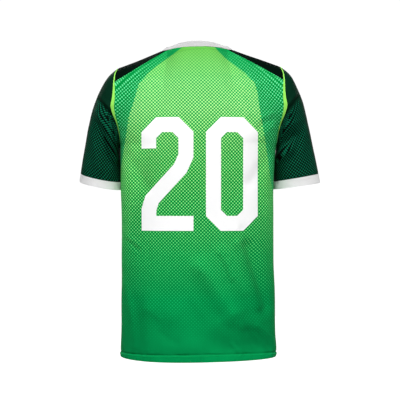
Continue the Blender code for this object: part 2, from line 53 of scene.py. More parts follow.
def columns(names, *rows):
    """Named columns of a table, its rows in rising order of the first column, "at"."""
    return dict(zip(names.split(), np.array(sorted(map(tuple, rows)), float).T))


# ------------------------------------------------------------ sizes of the cut
BACK, FRONT = -1.0, 1.0
FACES = {BACK: "back", FRONT: "front"}
SIDES = {"left": -1.0, "right": 1.0}
UP = np.array([0.0, 0.0, 1.0])
RINGS = ("armhole", "sleeve", "cuff", "collar")     # pieces that close on themselves
SEAM = 0.0003           # space between two sewn panels
CLOTH = 0.0010          # thickness of the knitted cloth
HEM_CLOTH = 0.0020      # thickness of the turned-up hem
RIB_CLOTH = 0.0020      # thickness of the collar and cuff rib
HEM_Z = -0.7320
HEM_BAND = 0.0180       # height of the turned-up hem
ARMPIT_Z = -0.2280
BODY_SQUARE = 2.35      # superellipse power of the body sections
SLEEVE_SQUARE = 2.10    # superellipse power of the sleeve sections
ARMHOLE_MIDDLE = (0.2600, -0.1350)     # across and height
ARMHOLE_SPREAD = 2.6    # power with which the armhole's shape fades inwards
TOP_PULL = 0.9          # strength of the slope with which a panel meets the yoke
SLOPE_STEP = 0.01       # height over which the slope at the underarm is measured
SHOULDER_TILT = 0.0120  # slope with which the shoulders rise towards +X
TILT_FROM = -0.2000     # height where the tilt starts
TILT_OVER = 0.1500      # height over which it comes in
NECK_SHIFT = 0.0045     # how far the neck sits towards -X
NECK_REACH = 0.1300     # distance from the centre over which that fades
HEM_SAG = 0.0020        # how far the hem hangs below its ends at the centre
HEM_LEAN = 1.6          # how much more it does so towards -X
SAG_FROM = -0.5600      # height where the sag starts
SAG_OVER = 0.1600       # height over which it comes in

# ------------------------------------------------------------ mesh counts
NECK_COLS = 34          # columns from the centre line to the yoke
HALF_COLS = 85          # columns from the centre line to the side seam
CHEST_ROWS = 84
BODY_ROWS = 112         # rows between the fine rows of the hem and the underarm
HEM_ROWS = 26
HEM_HEIGHT = 0.0300     # height of those fine rows
YOKE_ROWS = 22
SLEEVE_ROWS = 140
CUFF_ROWS = 10
COLLAR_ROWS = 8
INSERT_ROWS = 4
RIB_PITCH = 0.0025      # distance between two ribs of the collar and cuffs
RIB_STEPS = 4           # points across one rib
SECTION_POINTS = 181    # points of a quarter of a body section
CUFF_POINTS = 2000      # points round a cuff before it is divided evenly
NECK_POINTS = 8         # points a step round the neck before it is divided evenly
KEYS_A_METRE = 1e5      # points of two panels that agree to 0.01 mm are one
NECK_SHARE = NECK_COLS / HALF_COLS
SHARES = np.linspace(0.0, 1.0, HALF_COLS + 1)       # of the way from the centre to the seam
EDGE_STEP = 0.04        # share of the armhole over which its direction is measured
NEAR_EDGE = (0.91, 0.94, 0.97)      # shares where the slope of the cloth beside it is measured

# Half widths to the left and right, and depths of the back and front, by height.
BODY = columns("at left right back front", *mm(
    (-732, 186.8, 183.6, 124, 123), (-715, 187.2, 185.6, 123.6, 122.6),
    (-680, 186.2, 183.4, 121.5, 120.5), (-600, 185.5, 182.2, 119, 119),
    (-500, 185.5, 179, 115.5, 118), (-410, 185.3, 178.3, 114.5, 119),
    (-340, 187.6, 178.3, 116.5, 121.5), (-290, 187.6, 179.5, 119, 123.5),
    (-250, 188.5, 182.2, 120.5, 124.5), (-228, 189, 185.6, 121, 124.5)))

# Lines of the upper body, as (across, depth, height), and how far each panel's top
# leans inwards at the shares LEAN_AT from the centre to the armhole.
LEAN_AT = (0.0, 0.35, 0.6, 1.0)
LINES = {
    BACK: {
        "armhole": mm(
            (187, 0, -228), (187.2, 26, -219), (189, 44, -200), (194.5, 54, -178),
            (202.6, 61, -158), (207.6, 64, -139), (204.6, 62, -120), (203, 56, -100),
            (203.2, 45, -79)),
        "yoke_end": mm((203.2, 45, -79), (201, 23, -56), (196.8, 0, -43)),
        "neck": mm((0, 72, -0.4), (28, 68, -0.6), (52, 54, -1.7), (71.5, 32, -3)),
        "neck_end": mm((71.5, 32, -3), (80.5, 17, -2.2), (85, 0, -1)),
        "yoke_edge": mm((71.5, 32, -3), (114, 36, -26.5), (156, 40.5, -50.8), (203.2, 45, -79)),
        "lean": (0.42, 0.62, 0.80, 0.74),
    },
    FRONT: {
        "armhole": mm(
            (187, 0, -228), (185, 26, -219), (180, 45, -196), (175.5, 55.5, -166),
            (174.5, 59, -135), (179, 55, -105), (188, 45, -79)),
        "yoke_end": mm((188, 45, -79), (194, 24, -57), (196.8, 0, -43)),
        "neck": mm((0, 98, -78), (34, 92, -70), (62, 70, -47), (80, 32, -12)),
        "neck_end": mm((80, 32, -12), (84, 17, -4.5), (85, 0, -1)),
        "yoke_edge": mm((80, 32, -12), (114, 37, -31), (150, 41, -54), (188, 45, -79)),
        "lean": (0.22, 0.50, 0.74, 0.72),
    },
}
SHOULDER_LINE = mm((85, 0, -1), (140, 0, -22.2), (196.8, 0, -43))

# Width of the armhole insert, by the share of the way from the underarm to the shoulder.
INSERT = columns(
    "at back front",
    (0.00, 0.0020, 0.0020),
    (0.22, 0.0020, 0.0024),
    (0.36, 0.0038, 0.0028),
    (0.50, 0.0086, 0.0028),
    (0.62, 0.0060, 0.0026),
    (0.74, 0.0038, 0.0024),
    (1.00, 0.0022, 0.0022))

# Sections of the sleeves, by the share of the way from the armhole to the cuff's seam.
SLEEVE = columns(
    "at outer_left outer_left_z outer_right outer_right_z"
    " inner_left inner_right inner_z middle half_depth",
    (0.00, 0.1968, -0.0430, 0.1968, -0.0430, 0.1890, 0.1856, -0.2280, 0.000, 0.0630),
    (0.12, 0.2184, -0.0624, 0.2196, -0.0624, 0.1915, 0.1864, -0.2390, 0.005, 0.0660),
    (0.24, 0.2359, -0.0912, 0.2357, -0.0912, 0.1912, 0.1850, -0.2510, 0.010, 0.0665),
    (0.36, 0.2490, -0.1200, 0.2482, -0.1200, 0.1902, 0.1823, -0.2630, 0.015, 0.0665),
    (0.48, 0.2590, -0.1488, 0.2566, -0.1488, 0.1892, 0.1808, -0.2740, 0.020, 0.0660),
    (0.62, 0.2674, -0.1872, 0.2662, -0.1872, 0.1882, 0.1802, -0.2860, 0.025, 0.0655),
    (0.76, 0.2744, -0.2256, 0.2744, -0.2256, 0.1874, 0.1804, -0.2970, 0.028, 0.0650),
    (0.89, 0.2820, -0.2640, 0.2832, -0.2640, 0.1868, 0.1810, -0.3070, 0.031, 0.0655),
    (1.00, 0.2868, -0.2947, 0.2892, -0.2960, 0.1862, 0.1806, -0.3150, 0.033, 0.0660),
    (1.12, 0.2890, -0.3146, 0.2930, -0.3180, 0.1858, 0.1804, -0.3340, 0.035, 0.0665))
CUFF_SHARE = 1.12
# Height of the back of a sleeve over its middle.
BACK_DROP = {"left": -0.0070, "right": -0.0020}

COLLAR_BACK, COLLAR_SIDE, COLLAR_FRONT = mm((14.2, 5), (9.2, 11.5), (12.5, 6))  # rise, lean
COLLAR_TURN = 1.5                   # power with which the sides turn into the ends

# Folds and creases: start and end (x, z), sideways bow of the middle, half width and
# height above the surface (a trough is negative).
FOLDS = {
    "back": mm(
        (2, -516, 74, -622, 0, 21, 9.6), (53, -475, 104, -572, 0, 12, 3),
        (84, -429, 141, -606, 0, 11.5, 4), (101, -429, 158, -606, 0, 11.5, -4.6),
        (46, -650, 162, -642, 0, 20, 4.2), (34, -700, 165, -702, 0, 22, -7),
        (-110, -599, -67, -627, 0, 24, 4.6), (-78, -700, 35, -702, 0, 20, 3),
        (112, -664, 160, -714, 0, 11, -3.6), (-158, -610, -146, -700, 0, 13, 3.6),
        (-170, -255, -120, -330, 0, 14, -3), (166, -250, 120, -320, 0, 14, -3)),
    "front": mm(
        (-150, -250, -95, -345, 0, 15, -3.6), (150, -255, 90, -340, 0, 14, -3.6),
        (-110, -440, -35, -560, 0, 14, 4.8), (-78, -428, -4, -545, 0, 12, -3.8),
        (30, -500, 110, -610, 0, 15, 4.6), (85, -430, 140, -530, 0, 14, -3.8),
        (-150, -560, -90, -660, 0, 15, -3.8), (20, -640, 78, -702, 0, 13, 2.8)),
    "sleeve": mm(
        (-238, -148, -200, -262, 0, 10, 4.8), (-232, -186, -212, -276, 0, 9, -4.4),
        (-262, -190, -236, -290, 0, 10, 3.4), (221, -208, 184, -234, 0, 15, -5.6),
        (214, -243, 182, -266, 0, 12, 3.4), (256, -176, 214, -284, 0, 10, -3)),
}
# Finer creases on those folds and beside them.
CREASES = {
    "back": mm(
        (12, -522, 78, -618, 3, 8, 2), (48, -480, 76, -542, 2, 5.5, 2.4),
        (90, -462, 134.5, -608, 2, 11, 2.8), (111, -470, 164, -646, 2, 15, -4.2),
        (84, -429, 89.5, -446, 0, 11.5, -3), (101, -429, 106.5, -446, 0, 12.5, 2.8),
        (-118, -622, -116, -704, 0, 19, 5.8), (88, -626, 96, -704, 0, 19, 5.2),
        (-16, -585, 4, -622, 2, 9, 1.4), (-118, -612, -90, -634, 3, 8, 1.4),
        (-86, -668, -52, -690, -3, 9, -1.4), (62, -652, 112, -690, 6, 12, -1.6),
        (136, -652, 178, -696, 3, 5.2, 2.4), (124, -662, 166, -706, 3, 4.8, -1.4),
        (74, -692, 86, -708, 1, 4.5, 1.8), (-170, -446, -140, -466, 2, 5, 2.2),
        (-172, -456, -142, -477, 2, 4.5, -2), (-174, -560, -160, -640, 3, 7, 1.8),
        (172, -158, 142, -172, -2, 5, 1.6), (174, -172, 140, -192, -3, 5, -1.8),
        (174, -190, 146, -216, -3, 5.5, 1.6), (-178, -196, -150, -232, 4, 6, -1.4),
        (-78, -16, -36, -4, 1, 4, 1)),
    "front": mm(
        (-104, -452, -42, -550, 5, 6, 2), (-74, -436, -16, -530, -4, 5.5, -2.2),
        (40, -508, 100, -600, -5, 6, 2), (92, -438, 132, -515, 4, 5.5, -2),
        (-144, -572, -100, -650, 4, 5.5, -2), (30, -650, 74, -696, 3, 6, 1.8),
        (-140, -262, -102, -330, -4, 6, -1.8), (142, -264, 98, -330, 4, 6, -1.8),
        (150, -170, 122, -196, -2, 5.5, 1.4), (-150, -176, -124, -204, 2, 5.5, 1.4)),
    "sleeve": mm(
        (-234, -116, -201, -152, -1, 6, 4), (-239, -120, -206, -156.5, -1, 5, -6),
        (-206, -155, -195, -187, 1, 4.8, -4.4), (231, -110, 197, -149, 1, 6, 4),
        (236, -115, 202, -154, 1, 5, -6.2), (202, -152, 194.5, -179, -1, 4.8, -4),
        (-246, -150, -208, -262, 4, 5, 2.2), (-236, -160, -194, -244, 4, 5, 2.6),
        (-240, -176, -204, -256, 3, 5.6, -2.6), (-234, -194, -216, -268, 2, 5.5, -2.4),
        (-206, -256, -190, -296, 1, 7.5, -3.4), (-256, -214, -232, -290, 2, 6, 1.4),
        (222, -206, 186, -233, -2, 10, -5.8), (218, -240, 196, -254, -2, 12.5, 2.2),
        (233, -176, 200, -187, -2, 6, 1.8), (242, -184, 224, -264, 3, 5.6, -1.4),
        (252, -186, 236, -276, 3, 5.2, 1.6), (200, -264, 186, -296, -1, 8, -2.4)),
}
# Painted shade and painted light along the folds, soft darker and lighter bands that stand in for
# their shading; the last value is the change in thousandths.
PAINTED_FOLD_SHADING = {
    "back": mm(
        (97.5, -458, 140, -612, 2, 11, -150), (108, -628, 124, -680, 0, 28, -120),
        (-138, -600, -132, -690, 0, 22, -110), (-50, -595, -24, -650, 0, 26, 80),
        (-14, -682, 30, -690, 0, 24, 90), (44, -575, 74, -614, 0, 16, 70)),
}

# ------------------------------------------------------------ sewing and relief
SHARP_ANGLE = math.radians(50)
SWELL = 0.00045         # height of the low swell of the loose cloth
SMALL_SWELL = 0.6       # share of it that the smaller waves have
# Its waves: radians a metre along x, y and z, and phase; each two are multiplied.
SWELL_WAVES = ((31, 0, 17, 1.3), (0, -19, 23, 0.4), (57, 0, -29, 2.1), (0, 41, 37, 0.0))
SEAM_SINK = 0.0005      # how far a sewn edge lies below the cloth beside it
SEAM_WIDTH = 0.0024
PUCKER = 0.00022
PUCKER_LENGTH = 0.0105
PUCKER_DRIFT = 0.0610   # length over which the puckers' spacing varies
PUCKER_SWAY = 1.7       # how much it varies
PUCKER_FROM = 0.0025    # the puckers lie between these distances from a seam
PUCKER_TO = 0.0075
HEM_SIDE = 0.0095       # height of the hem's stitches at the side seams
HEM_GROOVE = 0.0018
HEM_GROOVE_WIDTH = 0.0022
HEM_UNEVEN = 0.0710     # length over which the groove's depth varies
HEM_UNEVEN_SHARE = 0.25
HEM_PUCKER = 0.0006
HEM_PUCKER_LENGTH = 0.0290
HEM_PUCKER_DRIFT = 0.1170
HEM_PUCKER_SWAY = 2.1
HEM_PUCKER_WIDTH = 0.0085
HEM_PAD = 0.0017        # how far the turned-up band stands out
HEM_PAD_TOP = 0.0030    # height over which it comes in under the stitches
HEM_PAD_EDGE = 0.0060   # height of its rounded lower edge
HEM_PAD_ROUND = 0.4     # share of it that the edge loses
RIB_RELIEF = 0.00028
RIB_FADE = 0.8          # share of the relief that a rib loses at its ends
STITCH_PITCH = 0.0029
STITCH_LENGTH = 0.0023
STITCH_RADIUS = 0.00024
STITCH_LIFT = 0.00008
STITCH_SHAPE = ((-1.0, 0.35), (-0.55, 1.0), (0.55, 1.0), (1.0, 0.35))
HEM_STITCHES = (0.0006, 0.0038)     # how far its two rows lie below the hem's line
YOKE_STITCHES = 0.0022              # distances of the other rows from their edges
CAP_STITCHES = 0.0024
WRIST_STITCHES = 0.0022
CUFF_STITCHES = 0.0160
COLLAR_STITCHES = 0.0020
KNIT_RELIEF = 0.00022
LOOP_LEAN = 2.2         # how far the legs of a loop lean, in radians of its row
LOOP_DEPTH = 0.75       # share of the relief that is lost between two columns

# ------------------------------------------------------------ printed pattern
DOT_SPACING = 0.00562   # from a dot to its nearest neighbours
DOT_EDGE = 0.16         # softness of a dot's edge
DOT_POWER = 1.57        # fits the level of the dots' wave to the share they cover
NO_DOTS = 0.35          # how much the level rises where they cover nothing
FEW_DOTS = 0.012        # share of cover over which that fades
SLEEVE_COVER = 0.31

# Share of the cloth that the light dots cover in the middle zone and beside it, by height.
COVER = columns(
    "at middle flank",
    (-0.720, 0.00, 0.00),
    (-0.694, 0.00, 0.00),
    (-0.660, 0.14, 0.14),
    (-0.600, 0.22, 0.22),
    (-0.500, 0.25, 0.26),
    (-0.380, 0.255, 0.27),
    (-0.260, 0.285, 0.27),
    (-0.142, 0.365, 0.27),
    (0.020, 0.52, 0.26))

# How much lighter the print is painted at the sides, as painted light that evens out the shade the
# lamps leave there, the cover it gains, and how far out it starts.
SIDE = columns(
    "at lighter cover from",
    (-0.720, -0.02, 0.00, 0.150),
    (-0.630, 0.04, 0.00, 0.150),
    (-0.540, 0.10, 0.00, 0.150),
    (-0.450, 0.20, 0.00, 0.145),
    (-0.360, 0.23, 0.01, 0.118),
    (-0.245, 0.28, 0.02, 0.115),
    (-0.180, 0.04, 0.01, 0.115),
    (0.020, 0.00, 0.00, 0.115))
SIDE_WIDTH = 0.045
PRINT_PULL = 0.28           # stretch of the print at the sides
PULL_FROM = 0.100           # it comes in between these distances across the flat cloth
PULL_TO = 0.180
PULL_REACH = 0.400          # greatest distance across, and the marks that it is added up on
PULL_MARKS = 201
PULL_TOP = -0.090           # height where it starts, and the height over which it comes in
PULL_FADE = 0.120

# Height, and colour of the light dots and of the cloth between them, as a screen shows it.
LIGHT = (
    (-0.690, 6, 150, 82),
    (-0.590, 22, 174, 98),
    (-0.490, 74, 212, 116),
    (-0.383, 130, 236, 134),
    (-0.150, 181, 247, 150),
    (-0.070, 154, 228, 131),
)
GROUND = (
    (-0.690, 3, 135, 72),
    (-0.590, 1, 132, 64),
    (-0.400, 0, 138, 58),
    (-0.300, 0, 148, 56),
    (-0.210, 2, 153, 62),
    (-0.142, 20, 161, 76),
)
FADE_FROM = 0.004           # the pattern comes in between these heights, from the top down
FADE_TO = -0.080

# Edges of the light middle zone: distance to the left and right, by height.
ZONE = columns("at left right", *mm(
    (10, 30, 25), (-4, 42, 40), (-11, 51.5, 45.5), (-25, 72.4, 60.5), (-43, 97.5, 83.8),
    (-62, 118, 108), (-86, 140.2, 130.2), (-112, 146.8, 137), (-140, 155, 140),
    (-168, 164.3, 144.8), (-193, 167.8, 149.4), (-226, 174.3, 156), (-266, 182.2, 162.2),
    (-300, 190, 167.2), (-336, 200, 174.7), (-380, 210, 190), (-750, 210, 190)))
ZONE_EDGE = 0.0012          # softness of the edges of the zones, the strip and the hem
STRIP_EDGE = 0.0010
HEM_EDGE = 0.0016
NECK_STRIP = 0.0075         # plain strip under the collar at the centre
NECK_STRIP_LEFT = 0.0090    # how much deeper it gets towards the sides
NECK_STRIP_RIGHT = 0.0010
NECK_STRIP_REACH = 0.0550   # distance from the centre at which it is that much deeper
NECK_STRIP_END = 0.0750     # distance from the centre at which the strip ends
CAP_LINE_X = 0.2370         # upper end of the line under the sleeve's plain cap
CAP_LINE_Z = -0.1200
CAP_SLOPE = 1.20            # fall of that line towards the body
CAP_EDGE = 0.0080           # its softness
PLAIN_SIDE = 0.0340         # half width of the sleeve's plain outer strip at the cap
PLAIN_SIDE_CUT = 0.0300     # how much narrower it is at the cuff
PLAIN_SIDE_EDGE = 0.0300

# ------------------------------------------------------------ numerals
NUMERAL_STROKE = 0.0345
NUMERAL_WIDE = 0.0430       # half width of a numeral's middle line
NUMERAL_TALL = 0.1140       # half height of it
NUMERAL_CUT = 0.0240        # its cut corners
NUMERAL_MIDDLES = ((-0.0730, -0.3000), (0.0765, -0.3000))
FILM_STEP = 0.0026
FILM_LIFT = 0.00030
FILM_SUNK = 0.00010
MITRE_LIMIT = 0.3           # least cosine that the mitre of a corner is divided by


# ------------------------------------------------------------ curves
def hermite(p0, m0, p1, m1, t):
    return ((2 * t**3 - 3 * t**2 + 1) * p0 + (t**3 - 2 * t**2 + t) * m0
            + (3 * t**2 - 2 * t**3) * p1 + (t**3 - t**2) * m1)


def curve(xs, ys, at):
    """Smooth curve through the values ys at the places xs."""
    at = np.asarray(at, float)
    slopes = np.gradient(ys, xs, axis=0)
    i = np.clip(np.searchsorted(xs, at) - 1, 0, len(xs) - 2)
    shape = at.shape + (1,) * (ys.ndim - 1)
    step = np.reshape(xs[i + 1] - xs[i], shape)
    t = np.reshape(at - xs[i], shape) / step
    return hermite(ys[i], slopes[i] * step, ys[i + 1], slopes[i + 1] * step, t)


def smooth(table, name, at):
    """A named column of a table on a smooth curve, held beyond its ends."""
    return curve(table["at"], table[name], np.clip(at, table["at"][0], table["at"][-1]))


def straight(table, name, at):
    """A named column of a table on straight lines, held beyond its ends."""
    return np.interp(at, table["at"], table[name])


def run_along(line):
    """Distance of each point of a line from its first point, along the line."""
    steps = np.linalg.norm(np.diff(line, axis=0), axis=1)
    return np.concatenate([[0.0], np.cumsum(steps)])


def along(points, t):
    """Points at the shares t of the way along a smooth line through the points."""
    run = run_along(points)
    return curve(run / run[-1], points, t)


def picked(line, run, at):
    """Points of a line at the given distances along it."""
    return np.stack([np.interp(at, run, line[:, k]) for k in range(3)], axis=1)


def looped(line):
    return np.concatenate([line, line[:1]])


def eased(share):
    """0 to 1 with level ends, as the share goes from 0 to 1."""
    share = np.clip(share, 0.0, 1.0)
    return 3 * share**2 - 2 * share**3


def unit(v):
    return v / np.maximum(np.linalg.norm(v, axis=-1, keepdims=True), 1e-12)


def dot(a, b):
    return (a * b).sum(axis=-1, keepdims=True)


# ------------------------------------------------------------ body surface
def line(name, arm, face):
    """A named line of the upper body, on one arm's side of one face."""
    return LINES[face][name] * np.array([arm, face, 1.0])


def body_points(arm, face, shares, z):
    """Points of a body section at shares of the way from the centre line to the seam."""
    left, right, depth = (smooth(BODY, name, z) for name in ("left", "right", FACES[face]))
    angle = np.linspace(0.0, np.pi / 2, SECTION_POINTS)
    xs = (left + right) / 2 * np.sin(angle) ** (2 / BODY_SQUARE)
    ys = depth * np.cos(angle) ** (2 / BODY_SQUARE)
    run = run_along(np.stack([xs, ys], axis=1))
    x = np.interp(shares * run[-1], run, xs)
    y = np.interp(shares * run[-1], run, ys)
    return np.stack([(right - left) / 2 + arm * x, face * y, np.full_like(x, z)], axis=-1)


def past_neck(shares):
    """Share of the way from the neck's end to the armhole."""
    return (shares - NECK_SHARE) / (1 - NECK_SHARE)


def top_points(arm, face, shares):
    on_neck = along(line("neck", arm, face), np.minimum(shares / NECK_SHARE, 1.0))
    on_edge = along(line("yoke_edge", arm, face), np.maximum(past_neck(shares), 0.0))
    return np.where((shares <= NECK_SHARE)[..., None], on_neck, on_edge)


def top_slopes(face, shares):
    lean = np.interp(shares, LEAN_AT, LINES[face]["lean"])
    return np.stack([0 * lean, -face * lean, np.sqrt(1 - lean**2)], axis=-1)


def chest_columns(arm, face, shares, ts):
    low = body_points(arm, face, shares, ARMPIT_Z)
    slope = (low - body_points(arm, face, shares, ARMPIT_Z - SLOPE_STEP)) / SLOPE_STEP
    top = top_points(arm, face, shares)
    length = np.linalg.norm(top - low, axis=-1, keepdims=True)
    t = np.asarray(ts, float)[:, None, None]
    return hermite(low, slope * length, top, top_slopes(face, shares) * length * TOP_PULL, t)


def chest_points(arm, face, shares, ts):
    """Grid (ts, shares) of the upper body from the underarm to the top."""
    shares = np.asarray(shares, float)
    armhole = line("armhole", arm, face)
    one = np.array([1.0])
    side = chest_columns(arm, face, one, [0.0])[0, 0] - armhole[0]
    pull = along(armhole, ts) + side * (1 - ts[:, None]) ** 2
    pull = pull - chest_columns(arm, face, one, ts)[:, 0]
    return (chest_columns(arm, face, shares, ts)
            + pull[:, None] * (shares**ARMHOLE_SPREAD)[:, None])


def armhole_run(face):
    """Share of the armhole's length that lies below the yoke."""
    low, high = (run_along(LINES[face][name])[-1] for name in ("armhole", "yoke_end"))
    return low / (low + high)


def insert_edges(surface, arm, face, ts, runs):
    """Outer and inner edges of the armhole insert, square to the armhole."""
    low = np.clip(ts - EDGE_STEP, -1.0, 1.0)
    high = np.clip(ts + EDGE_STEP, -1.0, 1.0)
    first, middle, last = NEAR_EDGE
    outer = surface(1.0, ts)
    edge = unit(surface(1.0, high) - surface(1.0, low))
    across = surface(last, ts) - surface(first, ts)
    normal = unit(np.cross(across, surface(middle, high) - surface(middle, low)))
    away = outer - np.array([arm * ARMHOLE_MIDDLE[0], 0.0, ARMHOLE_MIDDLE[1]])
    away = away - normal * dot(normal, away)
    away = away - edge * dot(edge, away)
    return outer, outer + unit(away) * smooth(INSERT, FACES[face], runs)[:, None]


def spread(rows, shares, inner):
    """Move the outer half of each row so that it ends on the insert's edge."""
    weight = np.clip(2 * shares - 1, 0.0, 1.0) ** 2
    return rows + (inner - rows[:, -1])[:, None] * weight[:, None]


def half_rows(arm, face):
    """Upper-body rows from the centre line out, and the armhole line."""
    ts = np.linspace(0.0, 1.0, CHEST_ROWS + 1)

    def surface(share, at):
        return chest_points(arm, face, [share], at)[:, 0]

    outer, inner = insert_edges(surface, arm, face, ts, ts * armhole_run(face))
    rows = spread(chest_points(arm, face, SHARES, ts), SHARES, inner)
    above, edge = yoke_rows(arm, face, np.array([face]))
    rows[-1, NECK_COLS:] = above[0]
    outer[-1] = edge[0]
    return rows, outer


def yoke_columns(arm, face, shares, ts):
    low = top_points(arm, face, shares)
    ridge = along(SHOULDER_LINE * np.array([arm, 1.0, 1.0]), past_neck(shares))
    length = np.linalg.norm(ridge - low, axis=-1, keepdims=True)
    over = np.array([0.0, -face, 0.0]) * length
    t = 1.0 - np.abs(ts)[:, None, None]
    return hermite(low, top_slopes(face, shares) * length, ridge, over, t)


def yoke_points(arm, face, shares, ts):
    """Grid of one half of the yoke; |t| is 1 at its lower edge, 0 on the shoulder."""
    shares = np.asarray(shares, float)
    at_ends = yoke_columns(arm, face, np.array([NECK_SHARE, 1.0]), ts)
    neck_pull = along(line("neck_end", arm, face), 1.0 - np.abs(ts)) - at_ends[:, 0]
    arm_pull = along(line("yoke_end", arm, face), 1.0 - np.abs(ts)) - at_ends[:, 1]
    across = past_neck(shares)[:, None]
    return (yoke_columns(arm, face, shares, ts) + neck_pull[:, None] * (1 - across) ** 2
            + arm_pull[:, None] * across**2)


def yoke_rows(arm, face, ts):
    """Rows of the yoke from the neck out, and the armhole line."""
    shares = SHARES[NECK_COLS:]
    run = armhole_run(face)

    def surface(share, at):
        grid = np.empty((len(at), 3))
        for half, mine in ((BACK, at < 0), (FRONT, at >= 0)):
            if mine.any():
                grid[mine] = yoke_points(arm, half, [share], at[mine])[:, 0]
        return grid

    outer, inner = insert_edges(surface, arm, face, ts, run + (1 - run) * (1 - np.abs(ts)))
    return spread(yoke_points(arm, face, shares, ts), shares, inner), outer


def whole_yoke(arm):
    ts = np.arange(-YOKE_ROWS, YOKE_ROWS + 1) / YOKE_ROWS
    back, back_edge = yoke_rows(arm, BACK, ts[ts < 0])
    front, front_edge = yoke_rows(arm, FRONT, ts[ts >= 0])
    return np.concatenate([back, front]), np.concatenate([back_edge, front_edge])


def panel(face, halves):
    """Rows of a body panel from the hem up, from the left side to the right."""
    top = HEM_Z + HEM_HEIGHT
    heights = [*np.linspace(HEM_Z, top, HEM_ROWS + 1)[:-1],
               *np.linspace(top, ARMPIT_Z, BODY_ROWS + 1)[:-1]]
    rows = [np.concatenate([body_points(-1.0, face, SHARES[:0:-1], z),
                            body_points(1.0, face, SHARES, z)]) for z in heights]
    chest = np.concatenate([halves["left"][0][:, :0:-1], halves["right"][0]], axis=1)
    return np.concatenate([np.array(rows), chest])


# ------------------------------------------------------------ sleeves and collar
def armhole_rings(back, front, yoke):
    """Inner and outer ring of the insert, from the underarm up the back."""
    inner = np.concatenate([back[0][:-1, -1], yoke[0][:, -1], front[0][-2:0:-1, -1]])
    outer = np.concatenate([back[1][:-1], yoke[1], front[1][-2:0:-1]])
    return inner, outer


def ring_angles(ring):
    """Angle of every point of an armhole ring: pi underarm, 0 shoulder tip."""
    run = run_along(looped(ring))
    tip = run[CHEST_ROWS + YOKE_ROWS]
    up_back = np.pi * (1.0 - run / tip)
    down_front = -np.pi * (run - tip) / (run[-1] - tip)
    return np.where(run < tip, up_back, down_front)[:-1]


def powered(wave):
    """A wave of a circle's angle turned into that of a sleeve section."""
    return (np.sign(wave) * np.abs(wave) ** (2 / SLEEVE_SQUARE))[:, None]


def sleeve_ring(side, angles, share):
    """Section of the sleeve at the given share of its length."""
    def place(edge, height):
        values = (smooth(SLEEVE, name, share) for name in (edge, "middle", height))
        return np.array([*values]) * np.array([SIDES[side], 1.0, 1.0])

    outer = place("outer_" + side, "outer_" + side + "_z")
    inner = place("inner_" + side, "inner_z")
    drop = BACK_DROP[side] * min(share, 1.0)
    deep = np.array([0.0, -smooth(SLEEVE, "half_depth", share), drop])
    return ((outer + inner) / 2 + powered(np.cos(angles)) * (outer - inner) / 2
            + powered(np.sin(angles)) * deep)


def sleeve_rows(side, ring):
    angles = ring_angles(ring)
    start = ring - sleeve_ring(side, angles, 0.0)
    return np.array([sleeve_ring(side, angles, s) + start * (1 - s) ** 3
                     for s in np.linspace(0.0, 1.0, SLEEVE_ROWS + 1)])


def rib_places(ring):
    """Distances round a closed rib, so that every rib has RIB_STEPS points."""
    length = run_along(looped(ring))[-1]
    return np.linspace(0.0, length, RIB_STEPS * round(length / RIB_PITCH), endpoint=False)


def cuff_rows(side):
    """Cuff from the sleeve down, its columns at even distances."""
    dense = np.pi * (1.0 - np.linspace(0.0, 2.0, CUFF_POINTS, endpoint=False))
    ring = sleeve_ring(side, dense, 1.0)
    angles = np.interp(rib_places(ring), run_along(looped(ring)), np.append(dense, -np.pi))
    return np.array([sleeve_ring(side, angles, s)
                     for s in np.linspace(1.0, CUFF_SHARE, CUFF_ROWS + 1)])


def neck_ring(back, front, yokes):
    """Closed neckline: centre back, right, front, left."""
    mid = HALF_COLS
    return np.concatenate([
        back[-1, mid:mid + NECK_COLS], yokes["right"][:, 0],
        front[-1, mid - NECK_COLS + 1:mid + NECK_COLS],
        yokes["left"][::-1, 0], back[-1, mid - NECK_COLS + 1:mid]])


def smooth_ring(ring, times):
    """Closed smooth curve through the ring with `times` points a step."""
    before, after, later = (np.roll(ring, k, axis=0) for k in (1, -1, -2))
    parts = [hermite(ring, (after - before) / 2, after, (later - ring) / 2, k / times)
             for k in range(times)]
    return np.stack(parts, axis=1).reshape(-1, 3)


def collar_rows(ring):
    """Collar from the neckline up, its columns at even distances."""
    count = len(rib_places(ring))
    fine = looped(smooth_ring(ring, NECK_POINTS))
    run = run_along(fine)
    ring = picked(fine, run, np.linspace(0.0, run[-1], count, endpoint=False))
    radial = unit(ring * np.array([1.0, 1.0, 0.0]))
    side = np.abs(radial[:, :1]) ** COLLAR_TURN
    ends = np.where(radial[:, 1:2] < 0, COLLAR_BACK, COLLAR_FRONT)
    size = COLLAR_SIDE * side + ends * (1 - side)
    full = UP * size[:, :1] - radial * size[:, 1:]
    return np.array([ring + full * share for share in np.linspace(0.0, 1.0, COLLAR_ROWS + 1)])


# ------------------------------------------------------------ shared surface
def quads(shape, closed):
    rows, cols = shape
    i, j = np.meshgrid(np.arange(rows - 1), np.arange(cols if closed else cols - 1),
                       indexing="ij")
    k = (j + 1) % cols
    corners = [i * cols + j, i * cols + k, (i + 1) * cols + k, (i + 1) * cols + j]
    return np.stack(corners, axis=-1).reshape(-1, 4)


